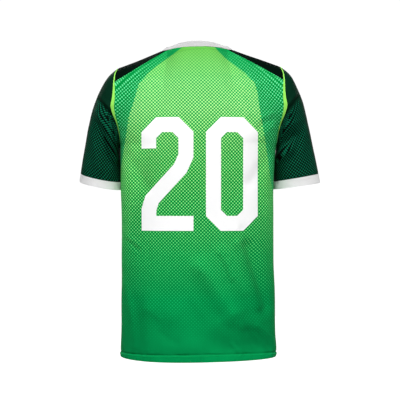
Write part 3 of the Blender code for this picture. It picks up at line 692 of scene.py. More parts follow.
def shared_normals(pieces):
    """Unit normal of every point, shared by all panels that meet there."""
    points = np.concatenate([p["grid"].reshape(-1, 3) for p in pieces.values()])
    keys = np.round(points * KEYS_A_METRE).astype(np.int64)
    ids = np.unique(keys, axis=0, return_inverse=True)[1].ravel()
    total = np.zeros((ids.max() + 1, 3))
    ends = np.cumsum([p["grid"][..., 0].size for p in pieces.values()])
    parts = list(zip(pieces.values(), np.split(ids, ends[:-1])))
    for piece, own in parts:
        pts = piece["grid"].reshape(-1, 3)
        faces = quads(piece["grid"].shape[:2], piece["closed"])
        a, b, c, d = (pts[faces[:, n]] for n in range(4))
        normal = unit(np.cross(c - a, d - b))
        for n in range(4):
            np.add.at(total, own[faces[:, n]], normal)
    total = unit(total)
    for piece, own in parts:
        piece["normal"] = total[own].reshape(piece["grid"].shape)


def raised(piece, lift):
    """Move every point of a piece along its normal."""
    piece["grid"] = piece["grid"] + piece["normal"] * lift[..., None]


def hung(grid):
    """Tilt the shoulders, shift the neck and let the hem sag, as it is worn."""
    x, z = grid[..., 0].copy(), grid[..., 2].copy()
    upper = eased((z - TILT_FROM) / TILT_OVER)
    lower = eased((SAG_FROM - z) / SAG_OVER)
    side = x / BODY["left"][0]
    grid[..., 0] -= NECK_SHIFT * upper * np.exp(-(x / NECK_REACH) ** 4)
    grid[..., 2] += SHOULDER_TILT * x * upper
    grid[..., 2] -= HEM_SAG * (1 - HEM_LEAN * side) * np.clip(1 - side**2, 0.0, 1.0) * lower


def fold_heights(side, x, z, table):
    """Sum of the heights of the folds on one side, at the places (x, z)."""
    total = np.zeros_like(x)
    for x0, z0, x1, z1, bow, half_width, height in table.get(side, ()):
        run_x, run_z = x1 - x0, z1 - z0
        length = np.hypot(run_x, run_z)
        off_x, off_z = x - x0, z - z0
        share = (off_x * run_x + off_z * run_z) / length**2
        inside = np.clip(share, 0.0, 1.0)
        across = (run_x * off_z - run_z * off_x) / length - bow * 4 * inside * (1 - inside)
        past = np.maximum(0.0, np.maximum(-share, share - 1.0)) * length
        total += height * np.exp(-(across**2 + past**2) / half_width**2)
    return total


def swell(x, y, z):
    """Low uneven swell of cloth that hangs free."""
    waves = [np.sin(a * x + b * y + c * z + phase) for a, b, c, phase in SWELL_WAVES]
    return SWELL * (waves[0] * waves[1] + SMALL_SWELL * waves[2] * waves[3])


def crease(pieces, table, loose):
    """Raise and sink the shared surface along the folds of a table."""
    shared_normals(pieces)
    for name, piece in pieces.items():
        x, y, z = (piece["grid"][..., k] for k in range(3))
        if name.startswith(("sleeve", "cuff")):
            lift = fold_heights("sleeve", x, z, table)
        else:
            lift = np.where(y < 0, fold_heights("back", x, z, table),
                            fold_heights("front", x, z, table))
        lift = lift * np.abs(piece["normal"][..., 1])
        raised(piece, lift + swell(x, y, z) if loose else lift)


# ------------------------------------------------------------ edges of a panel
def turned(grid, edge):
    """A grid with the named edge as its first row."""
    if edge in ("left", "right"):
        grid = np.swapaxes(grid, 0, 1)
    return grid[::-1] if edge in ("high", "right") else grid


def turned_back(values, edge):
    """Values on a turned grid, in the order of the grid itself."""
    values = values[::-1] if edge in ("high", "right") else values
    return values.T if edge in ("left", "right") else values


def distances(grid):
    """Distance of every point from the first row, along its column."""
    steps = np.linalg.norm(np.diff(grid, axis=0), axis=-1)
    return np.concatenate([np.zeros((1, grid.shape[1])), np.cumsum(steps, axis=0)])


def row_runs(grid):
    """Distance of every point from the first column, along its row."""
    return distances(np.swapaxes(grid, 0, 1)).T


def puckers(run, length, drift, sway):
    """Wave along an edge, whose length varies with the slower wave `drift`."""
    return np.sin(2 * np.pi * run / length + sway * np.sin(2 * np.pi * run / drift))


def sewn(piece, edges):
    """Sink the cloth a little at its seams and pucker it beside them."""
    lift = np.zeros(piece["grid"].shape[:2])
    for edge in edges:
        grid = turned(piece["grid"], edge)
        away = distances(grid)
        near = np.exp(-(away / PUCKER_TO) ** 2) * (1 - np.exp(-(away / PUCKER_FROM) ** 2))
        part = PUCKER * puckers(row_runs(grid), PUCKER_LENGTH, PUCKER_DRIFT, PUCKER_SWAY) * near
        part -= SEAM_SINK * np.exp(-(away / SEAM_WIDTH) ** 2)
        lift += turned_back(part, edge)
    raised(piece, lift)


def hem_line(cols):
    """Height of the hem's stitches over its edge, from one side to the other."""
    share = np.abs(np.linspace(-1.0, 1.0, cols))
    return HEM_BAND + (HEM_SIDE - HEM_BAND) * share**2


def hemmed(piece):
    """Groove along the stitches of the turned-up hem, with soft puckers."""
    away = distances(piece["grid"])
    run = row_runs(piece["grid"])
    off = away - hem_line(piece["grid"].shape[1])
    uneven = 1 + HEM_UNEVEN_SHARE * (np.sin(2 * np.pi * run / HEM_UNEVEN + 0.8) - 1)
    lift = -HEM_GROOVE * uneven * np.exp(-(off / HEM_GROOVE_WIDTH) ** 2)
    lift += (HEM_PUCKER * puckers(run, HEM_PUCKER_LENGTH, HEM_PUCKER_DRIFT, HEM_PUCKER_SWAY)
             * np.exp(-(np.abs(off) / HEM_PUCKER_WIDTH) ** 1.5))
    edge = 1 + HEM_PAD_ROUND * (eased(away / HEM_PAD_EDGE) - 1)
    lift += HEM_PAD * eased(-off / HEM_PAD_TOP) * edge
    raised(piece, lift)


def ribbed(piece):
    """Raise the ribs of a collar or cuff; they run up and down."""
    rows, cols = piece["grid"].shape[:2]
    wave = np.cos(2 * np.pi * np.arange(cols) / RIB_STEPS)
    fade = 1 - RIB_FADE * np.abs(np.linspace(-1.0, 1.0, rows)) ** 6
    raised(piece, RIB_RELIEF * wave[None, :] * fade[:, None])


def offset_line(piece, edge, depth, part=slice(None)):
    """Line at the given depth from an edge: points and normals."""
    grid, normal = turned(piece["grid"], edge), turned(piece["normal"], edge)
    away = distances(grid)
    depth = np.broadcast_to(depth, grid.shape[1:2])
    chosen = range(grid.shape[1])[part]
    points, normals = (
        np.concatenate([picked(values[:, j], away[:, j], depth[j:j + 1]) for j in chosen])
        for values in (grid, normal))
    return points, unit(normals)


# ------------------------------------------------------------ flat patterns
def laid_flat(piece, axis, first):
    """Lay a grid flat from its column `first`: distance across and along `axis`."""
    grid, normal = piece["grid"], piece["normal"]
    if piece["closed"]:
        grid, normal = (np.concatenate([a, a[:, :1]], axis=1) for a in (grid, normal))
    tall = unit(axis - normal * dot(axis, normal))
    wide = np.cross(tall, normal)
    steps = np.diff(grid, axis=1)
    spine = np.diff(grid[:, first], axis=0)
    flat = np.zeros(grid.shape[:2] + (2,))
    flat[1:, first, 1] = np.cumsum(dot(spine, tall[1:, first])[..., 0])
    for k, way in enumerate((wide, tall)):
        go = dot(steps, unit(way[:, 1:] + way[:, :-1]))[..., 0]
        start = flat[:, first:first + 1, k]
        flat[:, first + 1:, k] = start + np.cumsum(go[:, first:], axis=1)
        flat[:, :first, k] = start - np.cumsum(go[:, :first][:, ::-1], axis=1)[:, ::-1]
    piece["flat"] = flat


# ------------------------------------------------------------ printed pattern
def cut_level(coverage):
    """Level of the dot wave above which about the given share of the cloth lies."""
    ground = 1 - 2 * coverage
    level = np.sign(ground) * 2 * np.abs(ground) ** DOT_POWER
    return level + NO_DOTS * np.exp(-coverage / FEW_DOTS)


def print_across(across, z):
    """Place in the print, which is stretched at the sides as it is pulled round the body."""
    marks = np.linspace(0.0, PULL_REACH, PULL_MARKS)
    steps = eased((marks - PULL_FROM) / (PULL_TO - PULL_FROM))
    run = np.concatenate([[0.0], np.cumsum((steps[1:] + steps[:-1]) / 2 * np.diff(marks))])
    pulled = PRINT_PULL * eased((PULL_TOP - z) / PULL_FADE) * np.interp(np.abs(across), marks, run)
    return across - np.sign(across) * pulled


def neck_depth(x, face):
    """Depth of the plain strip under the collar."""
    if face == FRONT:
        return np.full_like(x, NECK_STRIP)
    side = np.where(x < 0, NECK_STRIP_LEFT, NECK_STRIP_RIGHT)
    deep = NECK_STRIP + side * (x / NECK_STRIP_REACH) ** 2
    return np.where(np.abs(x) < NECK_STRIP_END, deep, 0.0)


def print_body(piece, face):
    """Values that the body's shader reads: dot size, zones, plain parts, and painted light and
    shade.
    """
    x, z = piece["grid"][..., 0], piece["grid"][..., 2]
    piece["flat"][..., 0] = print_across(piece["flat"][..., 0], z)
    side = eased((np.abs(x) - straight(SIDE, "from", z)) / SIDE_WIDTH)
    middle = straight(COVER, "middle", z) + side * straight(SIDE, "cover", z)
    # Painted shade and painted light along the folds.
    painted_fold_shading = fold_heights(FACES[face], x, z, PAINTED_FOLD_SHADING)
    from_top = distances(piece["grid"][::-1])[::-1]
    piece["values"] = {
        "cut": cut_level(middle),
        "flank_cut": cut_level(straight(COVER, "flank", z)),
        "zone": np.minimum(x + straight(ZONE, "left", z), straight(ZONE, "right", z) - x),
        "neck": from_top - neck_depth(x[-1], face),
        "hem": distances(piece["grid"]) - hem_line(x.shape[1]),
        "low": z,
        # Painted light at the sides and the painted shading of the folds, as one tone.
        "lighter": 1 + side * straight(SIDE, "lighter", z) + painted_fold_shading,
    }


def print_sleeve(piece):
    """Strength of the dots: plain at the cap and along the outer line."""
    x, z = piece["grid"][..., 0], piece["grid"][..., 2]
    away = np.abs(piece["flat"][:, :x.shape[1], 0])
    line_z = CAP_LINE_Z - CAP_SLOPE * (CAP_LINE_X - np.abs(x))
    below = np.clip((line_z - z) / CAP_EDGE, 0.0, 1.0)
    start = PLAIN_SIDE - PLAIN_SIDE_CUT * np.linspace(0.0, 1.0, len(x))[:, None]
    piece["values"] = {
        "strength": eased((away - start) / PLAIN_SIDE_EDGE) * below,
        "cut": cut_level(np.full_like(z, SLEEVE_COVER)),
    }


# ------------------------------------------------------------ meshes
def edge_moves(grid, closed):
    """Moves that draw a panel's edges in by half a seam."""
    moves = np.zeros_like(grid)

    def move(line, inside, ring):
        around = np.roll(line, -1, axis=0) - np.roll(line, 1, axis=0)
        tangent = unit(around if ring else np.gradient(line, axis=0))
        inward = inside - line
        return unit(inward - tangent * dot(inward, tangent)) * SEAM / 2

    moves[0] += move(grid[0], grid[1], closed)
    moves[-1] += move(grid[-1], grid[-2], closed)
    if not closed:
        moves[:, 0] += move(grid[:, 0], grid[:, 1], False)
        moves[:, -1] += move(grid[:, -1], grid[:, -2], False)
    return moves


def rims(rows, cols, closed):
    """Index runs along the free edges of a grid with this many columns."""
    low = np.arange(cols)
    high = (rows - 1) * cols + low
    if closed:
        return [low[::-1], high]
    left = np.arange(rows) * cols
    return [low[::-1], (left + cols - 1)[::-1], high, left]


def rim_quads(rims_of, size):
    return [np.stack([rim[:-1], rim[1:], rim[1:] + size, rim[:-1] + size], axis=-1)
            for rim in rims_of]


def add_mesh(name, points, faces, materials):
    """Object of quads, smooth and linked to the scene."""
    mesh = bpy.data.meshes.new(name)
    mesh.vertices.add(len(points))
    mesh.vertices.foreach_set("co", np.asarray(points).ravel())
    mesh.loops.add(faces.size)
    mesh.loops.foreach_set("vertex_index", faces.ravel().astype(np.int32))
    mesh.polygons.add(len(faces))
    mesh.polygons.foreach_set("loop_start", np.arange(len(faces), dtype=np.int32) * 4)
    mesh.polygons.foreach_set("use_smooth", np.ones(len(faces), dtype=bool))
    for material in materials:
        mesh.materials.append(material)
    mesh.update(calc_edges=True)
    obj = bpy.data.objects.new(name, mesh)
    bpy.context.scene.collection.objects.link(obj)
    return obj


def cloth_object(name, piece, material, lining):
    """Closed thin shell: outer grid, inner grid and the rims between them."""
    grid, closed = piece["grid"], piece["closed"]
    rows, cols = grid.shape[:2]
    outer = grid + edge_moves(grid, closed)
    wall = np.broadcast_to(np.reshape(piece["wall"], (-1, 1, 1)), (rows, 1, 1))
    inner = outer - piece["normal"] * wall
    flat_cols = cols + 1 if closed else cols
    flat_size = rows * flat_cols
    front = quads((rows, flat_cols), False)
    sides = rim_quads(rims(rows, flat_cols, closed), flat_size)
    flat_faces = np.concatenate([front, front[:, ::-1] + flat_size] + sides)
    row, col = np.divmod(flat_faces, flat_cols)
    faces = row * cols + col % cols
    points = np.concatenate([outer.reshape(-1, 3), inner.reshape(-1, 3)])
    obj = add_mesh(name, points, faces, (material, lining))
    mesh = obj.data
    which = np.zeros(len(faces), dtype=np.int32)
    which[len(front):2 * len(front)] = 1
    mesh.polygons.foreach_set("material_index", which)
    mesh.set_sharp_from_angle(angle=SHARP_ANGLE)
    for key, values in piece.get("values", {}).items():
        layer = mesh.attributes.new(key, "FLOAT", "POINT")
        layer.data.foreach_set("value", np.tile(values.ravel(), 2).astype(np.float32))
    flat = np.tile(piece["flat"].reshape(-1, 2), (2, 1))
    uv = mesh.uv_layers.new(name="flat")
    uv.data.foreach_set("uv", flat[flat_faces.ravel()].ravel().astype(np.float32))
    return obj


# ------------------------------------------------------------ stitches
def stitch_shape():
    """One stitch along X: rings of six points, closed by quads at both ends."""
    turns = np.arange(6) * np.pi / 3
    points = [(place, radius * np.cos(turn), radius * np.sin(turn))
              for place, radius in STITCH_SHAPE for turn in turns]
    faces = [(ring + k, ring + (k + 1) % 6, ring + 6 + (k + 1) % 6, ring + 6 + k)
             for ring in (0, 6, 12) for k in range(6)]
    faces += [(0, 5, 4, 3), (0, 3, 2, 1), (18, 19, 20, 21), (18, 21, 22, 23)]
    return np.array(points), np.array(faces)[:, ::-1]


def stitched(name, lines, material):
    """Short raised stitches along lines given as (points, normals)."""
    shape, faces = stitch_shape()
    made = []
    for points, normals in lines:
        run = run_along(points)
        count = int(run[-1] / STITCH_PITCH)
        at = (np.arange(count) + 0.5) * run[-1] / count
        start, end = (picked(points, run, at + s * STITCH_PITCH / 2) for s in (-1, 1))
        ahead = unit(end - start)
        side = unit(np.cross(unit(picked(normals, run, at)), ahead))
        up = np.cross(ahead, side)
        middle = (start + end) / 2 + up * STITCH_LIFT
        made.append(middle[:, None] + ahead[:, None] * shape[None, :, :1] * STITCH_LENGTH / 2
                    + side[:, None] * shape[None, :, 1:2] * STITCH_RADIUS
                    + up[:, None] * shape[None, :, 2:] * STITCH_RADIUS)
    made = np.concatenate(made)
    starts = np.arange(len(made))[:, None, None] * len(shape)
    return add_mesh(name, made.reshape(-1, 3), (faces + starts).reshape(-1, 4), (material,))


# ------------------------------------------------------------ numerals
def numeral_zero(wide, tall, cut):
    """Middle line of a plain block 0, as a closed run of corners."""
    return [(-wide, -tall + cut), (-wide, tall - cut), (-wide + cut, tall), (wide - cut, tall),
            (wide, tall - cut), (wide, -tall + cut), (wide - cut, -tall), (-wide + cut, -tall)]


def numeral_two(wide, tall, cut):
    """Middle line of a plain block 2, from its upper left end."""
    bend = -0.10 * tall
    return [(-wide, 0.52 * tall), (-wide, tall - cut), (-wide + cut, tall), (wide - cut, tall),
            (wide, tall - cut), (wide, bend + 2.2 * cut), (wide - 0.55 * cut, bend + cut),
            (-wide + 0.3 * cut, -tall + 2.3 * cut), (-wide, -tall + 1.3 * cut), (-wide, -tall),
            (wide + NUMERAL_STROKE / 2, -tall)]


def stroke(corners, closed):
    """Fine strip of points along a mitred stroke, as a grid of (x, z)."""
    line = np.array(corners, float)
    ahead = np.roll(line, -1, axis=0) - line
    if not closed:
        ahead[-1] = ahead[-2]
    ahead = unit(ahead)
    before = np.roll(ahead, 1, axis=0)
    if not closed:
        before[0] = ahead[0]
    side, square = (way[:, ::-1] * np.array([1.0, -1.0]) for way in (unit(ahead + before), ahead))
    side = side / np.maximum(dot(side, square), MITRE_LIMIT)
    both = np.hstack([line, side])
    if closed:
        both = looped(both)
    rows = []
    for start, end in zip(both[:-1], both[1:]):
        count = max(2, int(np.hypot(*(end - start)[:2]) / FILM_STEP))
        rows.append(start + (end - start) * np.arange(count)[:, None] / count)
    if not closed:
        rows.append(both[-1:])
    rows = np.concatenate(rows)
    across = np.linspace(-0.5, 0.5, int(NUMERAL_STROKE / FILM_STEP) + 1) * NUMERAL_STROKE
    return rows[None, :, :2] + across[:, None, None] * rows[None, :, 2:]


def film(name, corners, closed, middle, surface, material):
    """Thin film of one numeral, laid on the cloth behind it."""
    strip = stroke(corners, closed)
    rows, cols = strip.shape[:2]
    hits = [surface.ray_cast((x, -1.0, z), (0.0, 1.0, 0.0))
            for x, z in strip.reshape(-1, 2) + np.array(middle)]
    points = np.array([hit[0] for hit in hits])
    normals = np.array([hit[1] for hit in hits])
    size = rows * cols
    faces = quads((rows, cols), closed)
    ends = rims(rows, cols, closed)
    if closed:
        ends = [looped(rim) for rim in ends]
    ordered = np.concatenate([faces, faces[:, ::-1] + size] + rim_quads(ends, size))
    top = points + normals * FILM_LIFT
    a, b, c = top[faces[0, :3]]
    if np.cross(b - a, c - a) @ normals[0] < 0:
        ordered = ordered[:, ::-1]
    bottom = points - normals * FILM_SUNK
    obj = add_mesh(name, np.concatenate([top, bottom]), ordered, (material,))
    obj.data.set_sharp_from_angle(angle=SHARP_ANGLE)
    return obj


def numerals(cloth):
    """Plain block numerals of white film on the back."""
    mesh = cloth.data
    half = len(mesh.vertices) // 2
    points = [v.co.copy() for v in mesh.vertices[:half]]
    faces = [tuple(p.vertices) for p in mesh.polygons if max(p.vertices) < half]
    surface = BVHTree.FromPolygons(points, faces)
    material = film_material()
    made = []
    for name, rule, closed, middle in (("numeral_tens", numeral_two, False, NUMERAL_MIDDLES[0]),
                                       ("numeral_units", numeral_zero, True, NUMERAL_MIDDLES[1])):
        corners = rule(NUMERAL_WIDE, NUMERAL_TALL, NUMERAL_CUT)
        piece = film(name, corners, closed, middle, surface, material)
        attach(piece, "root")
        made.append(piece)
    return made


# ------------------------------------------------------------ finish of the cloth
# Waves are those of a noise, in waves a metre; a spread is how far a value varies with them.
KNIT_FINISH = (0.66, 0.002, 0.0011, 0.0009)     # roughness, sheen, width and height of a loop
RIB_FINISH = (0.70, 0.020, 0.0008, 0.0008)
YOKE_FINISH = (0.60, 0.000, 0.0011, 0.0009)
KNIT_SHINE = 0.008
SHEEN_ROUGHNESS = 0.45
DYE_WAVES = 26.0
DYE_SPREAD = 0.05
ROUGH_WAVES = 60.0
ROUGH_SPREAD = 0.05
LOOP_PAINTED_SHADE = 0.10        # painted shade: how much lighter the top of a loop is painted than its foot, which is darkened as if in shade
FUZZ_WAVES = 900.0
FUZZ = 0.5              # height of the fuzz on the loops, as a share of theirs
KNIT_BUMP = 0.35        # strength of the relief in the light
FILM_TONE = (0.97, 1.0, 40.0)       # least and greatest value, and waves
FILM_ROUGH = (0.40, 0.52, 120.0)
FILM_FINE_WAVES = 700.0
FILM_BROAD_WAVES = 90.0
FILM_BROAD = 2.0        # height of the broad waves, as a share of the fine ones
FILM_RELIEF = 0.0002
FILM_BUMP = 0.2
FILM_SHINE = 0.12
TWIST_WAVES = 2600.0    # the twist of a thread
TWIST_PAINTED_LIGHT = 0.30       # painted light: how much lighter the top of the twist is painted than its foot
TWIST_PAINTED_SHADE = 0.82       # painted shade: tone of the foot of the twist
THREAD_RELIEF = 0.0001
THREAD_BUMP = 0.5
THREAD_ROUGH = 0.5
THREAD_SHEEN = 0.1


# ------------------------------------------------------------ materials
def linear(red, green, blue):
    """Screen colour, 0 to 255, as the amount of light that a node needs."""
    shares = (value / 255 for value in (red, green, blue))
    return tuple(share / 12.92 if share <= 0.04045 else ((share + 0.055) / 1.055) ** 2.4
                 for share in shares)


class Nodes:
    """A tree of nodes that is written like a sum."""

    def __init__(self, owner):
        owner.use_nodes = True
        self.owner = owner
        self.tree = owner.node_tree

    def put(self, socket, value):
        """Link a node's output to a socket, or set a plain value on it."""
        if isinstance(value, bpy.types.NodeSocket):
            self.tree.links.new(value, socket)
        elif isinstance(value, tuple):
            socket.default_value = (*value, 1.0)
        else:
            socket.default_value = value

    def new(self, kind, inputs=(), output=0, **settings):
        """One output of a new node with these settings and inputs."""
        node = self.tree.nodes.new("ShaderNode" + kind)
        for name, value in settings.items():
            setattr(node, name, value)
        for name, value in dict(inputs).items():
            self.put(node.inputs[name], value)
        return node.outputs[output]

    def parts(self, vector):
        return self.new("SeparateXYZ", {0: vector}).node.outputs

    def math(self, operation, *values, clamp=False):
        return self.new("Math", enumerate(values), operation=operation, use_clamp=clamp)

    def scaled(self, value, by, plus=0.0, clamp=False):
        """The value times `by`, and then `plus` added."""
        return self.math("MULTIPLY_ADD", value, by, plus, clamp=clamp)

    def between(self, value, low, high):
        """0 to 1 as the value goes from low to high, and held beyond them."""
        return self.scaled(value, 1 / (high - low), -low / (high - low), clamp=True)

    def step(self, value, width):
        """0 to 1 where the value passes 0, over the given width."""
        return self.between(value, -width / 2, width / 2)

    def mix(self, share, first, second, blend="MIX"):
        inputs = {"Factor": share, "A": first, "B": second}
        return self.new("Mix", inputs, "Result", data_type="RGBA", blend_type=blend)

    def grey(self, value):
        return self.new("CombineColor", {0: value, 1: value, 2: value})

    def toned(self, colour, tone):
        """A colour made darker or lighter by a tone."""
        return self.mix(1.0, colour, self.grey(tone), "MULTIPLY")

    def value(self, name):
        return self.new("Attribute", output="Fac", attribute_name=name)

    def flat(self):
        """Distances across and up the flat cloth, in metres."""
        return self.parts(self.new("UVMap", uv_map="flat"))[:2]

    def noise(self, scale, detail=3.0):
        """Noise over the object, from 0 to 1; scale is in waves a metre."""
        place = self.new("TexCoord", output="Object")
        return self.new("TexNoise", {"Vector": place, "Scale": scale, "Detail": detail}, "Fac")

    def varied(self, low, high, scale):
        """Value that the noise of this scale varies between two values."""
        return self.scaled(self.noise(scale), high - low, low)

    def ramp(self, value, table):
        """Colour by height, from a table of heights and screen colours."""
        low, high = table[0][0], table[-1][0]
        colour = self.new("ValToRGB", {0: self.between(value, low, high)}, "Color")
        stops = colour.node.color_ramp.elements
        while len(stops) < len(table):
            stops.new(0.5)
        for stop, (height, *screen) in zip(stops, table):
            stop.position = (height - low) / (high - low)
            stop.color = (*linear(*screen), 1.0)
        return colour

    def surface(self, **inputs):
        """Set inputs of the surface's shader, named with _ for spaces; the material."""
        main = self.tree.nodes["Principled BSDF"]
        for name, value in inputs.items():
            self.put(main.inputs[name.replace("_", " ")], value)
        return self.owner

    def cloth(self, colour, roughness, sheen, shine=KNIT_SHINE):
        return self.surface(Base_Color=colour, Roughness=roughness, Sheen_Weight=sheen,
                            Sheen_Roughness=SHEEN_ROUGHNESS, Specular_IOR_Level=shine)

    def bump(self, height, distance, strength):
        inputs = {"Strength": strength, "Distance": distance, "Height": height}
        self.surface(Normal=self.new("Bump", inputs))


def new_material(name):
    return Nodes(bpy.data.materials.new(name))


def knit(shader, across, up, width, height):
    """Relief of a plain knit: rows of V-shaped loops of this width and height."""
    lean = shader.math("ABSOLUTE", shader.math("SINE", shader.scaled(across, math.pi / width)))
    row = shader.math("ADD", shader.scaled(up, 2 * math.pi / height), shader.scaled(lean, LOOP_LEAN))
    loop = shader.scaled(shader.math("SINE", row), 0.5, 0.5)
    return shader.math("MULTIPLY", loop, shader.scaled(lean, LOOP_DEPTH, 1 - LOOP_DEPTH))


def dots(shader, across, up, level="cut"):
    """Share of the dot's colour, from a square lattice of dots that is turned an eighth."""
    turn = 2 * math.pi / (DOT_SPACING * math.sqrt(2))
    one, two = (shader.math("COSINE", shader.scaled(shader.math(sign, across, up), turn))
                for sign in ("ADD", "SUBTRACT"))
    wave = shader.math("ADD", one, two)
    return shader.step(shader.math("SUBTRACT", wave, shader.value(level)), DOT_EDGE)


def knitted(shader, colour, finish=KNIT_FINISH):
    """Finish a knitted cloth: small variation of the dye, loops and their relief, with painted light
    on the loops' tops and painted shade at their feet.
    """
    roughness, sheen, width, height = finish
    across, up = shader.flat()
    loops = knit(shader, across, up, width, height)
    cloudy = shader.varied(1 - DYE_SPREAD, 1 + DYE_SPREAD, DYE_WAVES)
    # The loops' relief also tones the colour: painted light on their tops and painted shade at their
    # feet.
    tone = shader.math("MULTIPLY", cloudy, shader.scaled(loops, LOOP_PAINTED_SHADE, 1 - LOOP_PAINTED_SHADE / 2))
    rough = shader.varied(roughness - ROUGH_SPREAD, roughness + ROUGH_SPREAD, ROUGH_WAVES)
    fuzz = shader.scaled(shader.noise(FUZZ_WAVES), FUZZ)
    shader.bump(shader.math("ADD", loops, fuzz), KNIT_RELIEF, KNIT_BUMP)
    return shader.cloth(shader.toned(colour, tone), rough, sheen)


# ------------------------------------------------------------ colours
FLANK_DOT = linear(92, 218, 146)
FLANK_GROUND = linear(0, 131, 55)
FLANK_PLAIN = linear(13, 146, 73)
MIDDLE_PLAIN = linear(96, 178, 72)
# The turned-up hem's own plain green, painted lighter than the cloth above it as painted light where
# the band catches the light.
HEM_GREEN_PAINTED_LIGHT = linear(2, 145, 78)
YOKE_BLACK = linear(3, 16, 10)
INSERT_LIME = linear(146, 224, 92)
SLEEVE_PLAIN = linear(6, 42, 27)
SLEEVE_TEAL = linear(10, 102, 72)
SLEEVE_BLACK = linear(5, 13, 10)
# The collar and the cuffs are one white rib in two greys: the collar's is painted darker as painted
# shade against the light from above, the cuffs' painted lighter as painted light where less light
# reaches them.
COLLAR_GREY_PAINTED_SHADE = linear(187, 187, 187)
CUFF_GREY_PAINTED_LIGHT = linear(230, 230, 230)
FILM_WHITE = linear(250, 250, 250)
LININGS = {
    "body": linear(150, 196, 158),
    "sleeve": linear(70, 98, 84),
    "yoke": linear(46, 54, 50),
}
THREADS = {
    "green": linear(6, 140, 74),
    "black": linear(16, 22, 20),
    "pine": linear(8, 44, 34),
    "white": linear(226, 226, 226),
}


def body_material():
    shader = new_material("printed_body_knit")
    across, up = shader.flat()
    height = shader.value("low")
    inside = shader.step(shader.value("zone"), ZONE_EDGE)
    middle = shader.mix(dots(shader, across, up), shader.ramp(height, GROUND),
                        shader.ramp(height, LIGHT))
    flank = shader.mix(dots(shader, across, up, "flank_cut"), FLANK_GROUND, FLANK_DOT)
    plain = shader.mix(inside, FLANK_PLAIN, MIDDLE_PLAIN)
    shown = shader.math("MULTIPLY", shader.between(height, FADE_FROM, FADE_TO),
                        shader.step(shader.value("neck"), STRIP_EDGE))
    printed = shader.mix(shown, plain, shader.mix(inside, flank, middle))
    # Painted light at the sides and painted shading along the folds, read from the value lighter.
    toned = shader.toned(printed, shader.value("lighter"))
    # Hem band in its plain green, painted lighter as painted light.
    hem = shader.step(shader.scaled(shader.value("hem"), -1.0), HEM_EDGE)
    return knitted(shader, shader.mix(hem, toned, HEM_GREEN_PAINTED_LIGHT))


def sleeve_material():
    shader = new_material("printed_sleeve_knit")
    share = dots(shader, *shader.flat())
    strength = shader.value("strength")
    dark = shader.mix(strength, SLEEVE_PLAIN, SLEEVE_BLACK)
    light = shader.mix(strength, SLEEVE_PLAIN, SLEEVE_TEAL)
    return knitted(shader, shader.mix(share, dark, light))


def plain_material(name, colour, finish=KNIT_FINISH):
    return knitted(new_material(name), colour, finish)


def film_material():
    shader = new_material("numeral_film")
    colour = shader.toned(FILM_WHITE, shader.varied(*FILM_TONE))
    broad = shader.scaled(shader.noise(FILM_BROAD_WAVES), FILM_BROAD)
    weave = shader.math("ADD", shader.noise(FILM_FINE_WAVES), broad)
    shader.bump(weave, FILM_RELIEF, FILM_BUMP)
    return shader.cloth(colour, shader.varied(*FILM_ROUGH), 0.0, FILM_SHINE)


def thread_material(name, colour):
    shader = new_material(name)
    twist = shader.noise(TWIST_WAVES, detail=1.0)
    shader.bump(twist, THREAD_RELIEF, THREAD_BUMP)
    # Painted light on the tops of the twist and painted shade at its feet, following its relief.
    tone = shader.scaled(twist, TWIST_PAINTED_LIGHT, TWIST_PAINTED_SHADE)
    return shader.cloth(shader.toned(colour, tone), THREAD_ROUGH, THREAD_SHEEN)


# ------------------------------------------------------------ the jersey
def outward(rings, arm):
    """Order the rings of the right arm so that their faces look outward."""
    return np.roll(rings[:, ::-1], 1, axis=1) if arm > 0 else rings


def shapes():
    """Grids of all panels on the shared surface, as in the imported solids."""
    halves = {face: {side: half_rows(arm, face) for side, arm in SIDES.items()}
              for face in (BACK, FRONT)}
    back = panel(BACK, halves[BACK])
    front = panel(FRONT, halves[FRONT])[:, ::-1]
    yokes = {}
    grids = {"back_panel": back, "front_panel": front}
    for side, arm in SIDES.items():
        rows, edge = whole_yoke(arm)
        yokes[side] = rows
        inner, outer = armhole_rings(halves[BACK][side], halves[FRONT][side], (rows, edge))
        share = np.linspace(0.0, 1.0, INSERT_ROWS + 1)[:, None, None]
        grids["shoulder_yoke_" + side] = rows[:, ::int(arm)]
        grids["armhole_insert_" + side] = outward(inner + (outer - inner) * share, arm)
        grids["sleeve_" + side] = outward(sleeve_rows(side, outer), arm)
        grids["cuff_" + side] = outward(cuff_rows(side), arm)
    grids["collar"] = collar_rows(neck_ring(back, front, yokes))
    return {name: {"grid": grid, "closed": name.startswith(RINGS)}
            for name, grid in grids.items()}


def finished_pieces():
    """All panels with their folds, seams, ribs, flat patterns and print."""
    pieces = shapes()
    for piece in pieces.values():
        hung(piece["grid"])
    crease(pieces, FOLDS, False)
    crease(pieces, CREASES, True)
    shared_normals(pieces)
    for name, piece in pieces.items():
        piece["wall"] = CLOTH
        if name.endswith("_panel"):
            sewn(piece, ("left", "right", "high"))
            hemmed(piece)
            turned_up = piece["grid"][:, HALF_COLS, 2] < HEM_Z + HEM_SIDE
            piece["wall"] = np.where(turned_up, HEM_CLOTH, CLOTH)
        elif name.startswith("shoulder_yoke"):
            sewn(piece, ("left", "right", "low", "high"))
        elif name.startswith("sleeve"):
            sewn(piece, ("low", "high"))
        elif name.startswith(("cuff", "collar")):
            ribbed(piece)
            piece["wall"] = RIB_CLOTH
    shared_normals(pieces)
    for name, piece in pieces.items():
        axis = UP
        if name.startswith(("sleeve", "cuff", "armhole")):
            rings = pieces["sleeve_" + name.split("_")[-1]]["grid"]
            axis = unit(rings[0].mean(axis=0) - rings[-1].mean(axis=0))
        if name.startswith("shoulder_yoke"):
            axis = np.array([0.0, 1.0, 0.0])
        laid_flat(piece, axis, piece["grid"].shape[1] // 2)
    for face, name in FACES.items():
        print_body(pieces[name + "_panel"], face)
    for side in SIDES:
        print_sleeve(pieces["sleeve_" + side])
    return pieces


